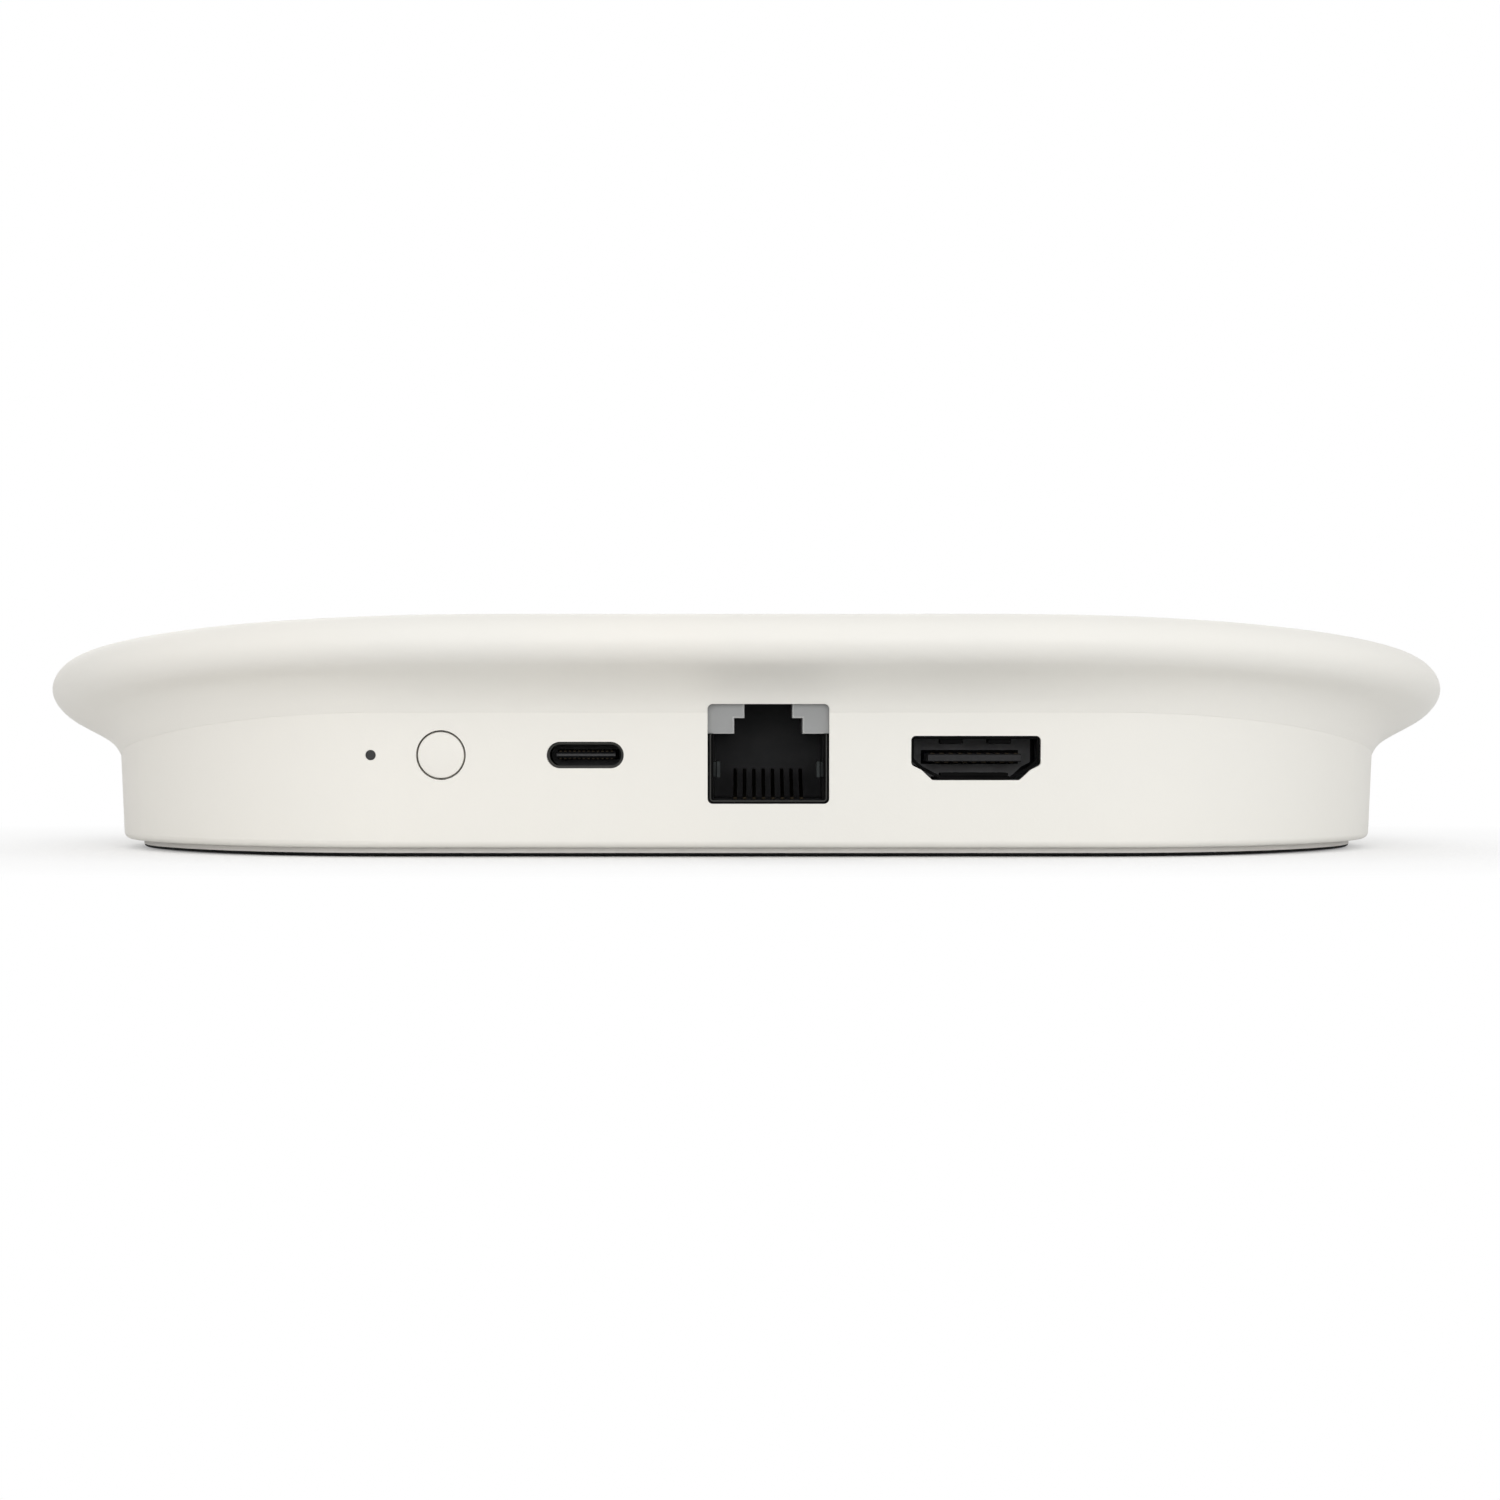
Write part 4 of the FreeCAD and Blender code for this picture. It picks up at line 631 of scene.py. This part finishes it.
settleLip(makeLip("usbLip", *lipLook["usbLip"], lipLook))
jackLip = makeLip("jackLip", *lipLook["jackLip"], lipLook)
bpy.ops.mesh.bisect(plane_co=(0, 0, lipLook["jackLipTop"]), plane_no=(0, 0, 1), use_fill=True,
                    clear_outer=True, threshold=samePlace)
settleLip(jackLip)
# the HDMI's frame is painted black as the shade round its mouth
settleLip(makeLip("hdmiLip", *lipLook["hdmiLip"], lipLook, shadeBlackFinish, lipLook["hdmiCuts"]))

hdmiSprings = {
    "front": -0.02840,
    "length": 0.0020,
    "softEdge": 0.00010,
    "softSteps": 3,
    # middle across, width, bottom and top, in metres
    "hdmiSpringLeft": (0.02193, 0.00246, 0.01208, 0.01262),
    "hdmiSpringRight": (0.02707, 0.00246, 0.01208, 0.01262),
    "hdmiSpringLow": (0.02436, 0.00728, 0.00852, 0.00900),
}


# the springs that hold a plug in the HDMI socket, two above and a wide one below, painted black as
# the shade they sit in
def makeHdmiSpring(name, middle, width, bottom, top, look):
    place = (middle, look["front"] + look["length"] / 2, (bottom + top) / 2)
    spring = makeBlock(name, shadeBlackFinish, place, (width, look["length"], top - bottom))
    bpy.ops.mesh.select_all(action="SELECT")
    bpy.ops.mesh.bevel(offset=look["softEdge"], segments=look["softSteps"], affect="EDGES")
    settle(spring, "housing")


for name in ("hdmiSpringLeft", "hdmiSpringRight", "hdmiSpringLow"):
    makeHdmiSpring(name, *hdmiSprings[name], hdmiSprings)

windowLook = {
    "highlightWidth": 0.00016,
    "faceDepth": 0.00002,
    # edges nearer than this to the windows' outer sides and top stay plain
    "plainMargin": 0.0001,
}


# the two light windows over the jack, with the edges that face the cavity bevelled and painted
# paler as a highlight
def makeWindows(look):
    low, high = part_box("ethernet_light_windows")
    middleX, face = (low[0] + high[0]) / 2, low[1] + look["faceDepth"]
    outer = (high[0] - low[0]) / 2 - look["plainMargin"]
    top = high[2] - look["plainMargin"]
    windows = weldedCopy("ethernet_light_windows", "lightWindows", windowFinish, windowHighlight)
    pickFaces(lambda middle, normal: normal.y < -squareFace and middle.y < face)
    bpy.ops.mesh.dissolve_faces()
    pickEdges(lambda middle, run: middle.y < face and abs(middle.x - middleX) < outer
              and middle.z < top)
    bpy.ops.mesh.bevel(offset=look["highlightWidth"], segments=1, affect="EDGES", material=1)
    settle(windows, "housing", ["ethernet_light_windows"])


makeWindows(windowLook)

contactLook = {
    "count": 8,
    "pitch": 0.00102,
    "width": 0.00040,
    "thick": 0.00024,
    "rootLength": 0.0006,
    "sideGap": 0.00001,
    "softEdge": 0.00006,
    "softSteps": 2,
    "sharpAngle": 50.0,
    "smoothAngle": 40.0,
    # steps back and up: the root, the bend, the long spring and the turned-down tip
    "steps": [(0.0004, 0.00004), (0.0004, 0.00012), (0.0004, 0.00018), (0.0052, 0.00254),
              (0.0003, 0.00008), (0.00025, 0.0), (0.0002, -0.0001)],
}


# one spring wire of the network jack, bent by extruding its end, then copied across
def makeJackContacts(look):
    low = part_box("ethernet_contacts")[0]
    size = (look["width"], look["rootLength"], look["thick"])
    root = (low[0] + size[0] / 2 + look["sideGap"], low[1] + size[1] / 2, low[2] + size[2] / 2)
    wire = makeBlock("jackContacts", goldFinish, root, size)
    pickFaces(lambda middle, normal: normal.y > squareFace)
    for back, up in look["steps"]:
        bpy.ops.mesh.extrude_region_move(TRANSFORM_OT_translate={"value": (0, back, up)})
    bpy.ops.object.mode_set(mode="OBJECT")
    soft = wire.modifiers.new("softEdge", "BEVEL")
    soft.width = look["softEdge"]
    soft.segments = look["softSteps"]
    soft.limit_method = "ANGLE"
    soft.angle_limit = math.radians(look["sharpAngle"])
    bpy.ops.object.modifier_apply(modifier="softEdge")
    wires = [wire]
    for number in range(1, look["count"]):
        twin = wire.copy()
        twin.data = wire.data.copy()
        scene.collection.objects.link(twin)
        twin.location = (look["pitch"] * number, 0, 0)
        wires.append(twin)
    clearSelection()
    for piece in wires:
        piece.select_set(True)
    bpy.context.view_layer.objects.active = wire
    bpy.ops.object.transform_apply(location=True, rotation=True, scale=True)
    bpy.ops.object.join()
    startEdit(wire)
    settle(wire, "housing", ["ethernet_contacts"], look["smoothAngle"])


makeJackContacts(contactLook)

tabLook = {
    # from the middle of the jack out to a ramp's tip and back, in metres
    "tip": 0.00512,
    "back": 0.0059,
    "middleHeight": 0.00935,
    "tall": 0.0017,
    "behindShield": 0.0005,
    "deep": 0.0012,
    "slack": 0.00002,
    "ramp": 0.00042,
    "softEdge": 0.00012,
    "softSteps": 2,
    # the slanted edges across count as running across too
    "mostlyAcross": 0.5,
}


# the ramps that lead a plug past the two side springs of the jack
def makeTabRamps(look):
    low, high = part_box("ethernet_shield")
    middleX = (low[0] + high[0]) / 2
    for side, name in ((-1, "leftTabRamp"), (1, "rightTabRamp")):
        outer, inner = middleX + side * look["back"], middleX + side * look["tip"]
        place = ((outer + inner) / 2, low[1] + look["behindShield"] + look["deep"] / 2,
                 look["middleHeight"])
        size = (abs(outer - inner) - look["slack"], look["deep"], look["tall"])
        ramp = makeBlock(name, socketMetal, place, size)
        pickEdges(lambda middle, run: abs(run.z) > squareEdge and middle.y < place[1]
                  and (middle.x - place[0]) * side < 0)
        bpy.ops.transform.translate(value=(0, look["ramp"], 0))
        pickEdges(lambda middle, run: abs(run.x) > look["mostlyAcross"])
        bpy.ops.mesh.bevel(offset=look["softEdge"], segments=look["softSteps"], affect="EDGES")
        settle(ramp, "housing")


makeTabRamps(tabLook)

# the paper floor is plain for the light it throws up; what is seen of it runs out to white
studio = {
    "floorSize": 8.0,
    "floorDrop": 0.00008,
    "floorColour": (0.80, 0.80, 0.80, 1.0),
    "floorSeen": (0.97, 0.97, 0.97, 1.0),
    "ovalNarrow": 0.48,
    "ovalPower": 3.0,
    # metres out from the middle, and how white the paper is seen there
    "whitening": [(0.030, 0.0), (0.034, 0.4), (0.045, 0.75), (0.065, 1.0)],
    "world": 0.50,
}

lamps = {
    # place, aimed at, size across and up, watts
    "frontLow": ((0.0, -1.30, 0.25), (0.0, 0.0, 0.01), (1.4, 0.4), 6.1),
    "frontRight": ((0.60, -1.00, 0.60), (0.0, 0.0, 0.01), (0.8, 0.8), 1.1),
    "overhead": ((0.0, 0.05, 1.20), (0.0, 0.0, 0.02), (1.6, 1.2), 2.0),
    "frontHigh": ((0.0, -0.80, 1.00), (0.0, 0.0, 0.01), (1.2, 0.6), 2.2),
    "right": ((1.10, -0.50, 0.45), (0.0, 0.0, 0.01), (0.8, 0.8), 0.5),
    "behind": ((-0.20, 1.10, 0.70), (0.0, 0.0, 0.01), (1.4, 0.8), 2.8),
}


# 1 for the rays that carry the floor or backdrop to the eye or into a reflection
def seenRays(field):
    rays = [field.node("ShaderNodeLightPath", {}, {}, f"Is {kind} Ray")
            for kind in ("Camera", "Glossy", "Transmission")]
    return rays[0] + rays[1] + rays[2]


def addFloor(look):
    bpy.ops.mesh.primitive_plane_add(size=look["floorSize"], location=(0, 0, -look["floorDrop"]))
    floor = bpy.context.object
    floor.name = "floor"
    bpy.ops.object.transform_apply(location=True, rotation=True, scale=True)
    finish = Finish("floorPaper", Roughness=0.9, Specular_IOR_Level=0.0)
    field = finish.field
    seen = seenRays(field)
    finish.feed("Base Color", finish.mix(seen, look["floorColour"], look["floorSeen"]))
    across, deep = finish.axis("X") * look["ovalNarrow"], finish.axis("Y")
    power = look["ovalPower"]
    distance = ((across * across) ** (power / 2) + (deep * deep) ** (power / 2)) ** (1 / power)
    reach = look["whitening"][-1][0]
    stops = [(place / reach, (white, white, white, 1.0)) for place, white in look["whitening"]]
    fade = field.node("ShaderNodeValToRGB", {"stops": stops}, {"Fac": distance / reach})
    white = field.node("ShaderNodeEmission", {}, {"Color": (1, 1, 1, 1), "Strength": 1.0})
    paper = Field(field.tree, finish.shader.outputs[0])
    whole = field.node("ShaderNodeMixShader", {}, {0: seen * fade, 1: paper, 2: white})
    plug(field.tree, whole, field.tree.nodes["Material Output"].inputs["Surface"])
    floor.data.materials.append(finish.material)
    clearSelection()


def addWorld(strength):
    world = bpy.data.worlds.new("studio")
    world.use_nodes = True
    field = Field(world.node_tree)
    seen = seenRays(field)
    background = world.node_tree.nodes["Background"]
    background.inputs["Color"].default_value = (1, 1, 1, 1)
    plug(field.tree, strength + seen * (1.0 - strength), background.inputs["Strength"])
    scene.world = world


def addLamp(name, place, aim, size, watts):
    lamp = bpy.data.lights.new(name, "AREA")
    lamp.shape = "RECTANGLE"
    lamp.size, lamp.size_y = size
    lamp.energy = watts
    holder = bpy.data.objects.new(name, lamp)
    scene.collection.objects.link(holder)
    holder.location = place
    holder.rotation_euler = (Vector(aim) - Vector(place)).to_track_quat("-Z", "Y").to_euler()


addFloor(studio)
addWorld(studio["world"])
for name, row in lamps.items():
    addLamp(name, *row)

cameraSet = {
    "distance": 0.300,
    "height": 0.0146,
    "pitch": 0.01166,
    "lens": 60.93,
    "sensor": 36.0,
    "shift": 0.0024,
    "nearest": 0.01,
}
lens = bpy.data.cameras.new("camera")
lens.lens = cameraSet["lens"]
lens.sensor_width = cameraSet["sensor"]
lens.shift_x = cameraSet["shift"]
lens.clip_start = cameraSet["nearest"]
camera = bpy.data.objects.new("camera", lens)
scene.collection.objects.link(camera)
camera.location = (0.0, -cameraSet["distance"], cameraSet["height"])
camera.rotation_euler = (math.pi / 2 - cameraSet["pitch"], 0.0, 0.0)
scene.camera = camera
print("studio ready")
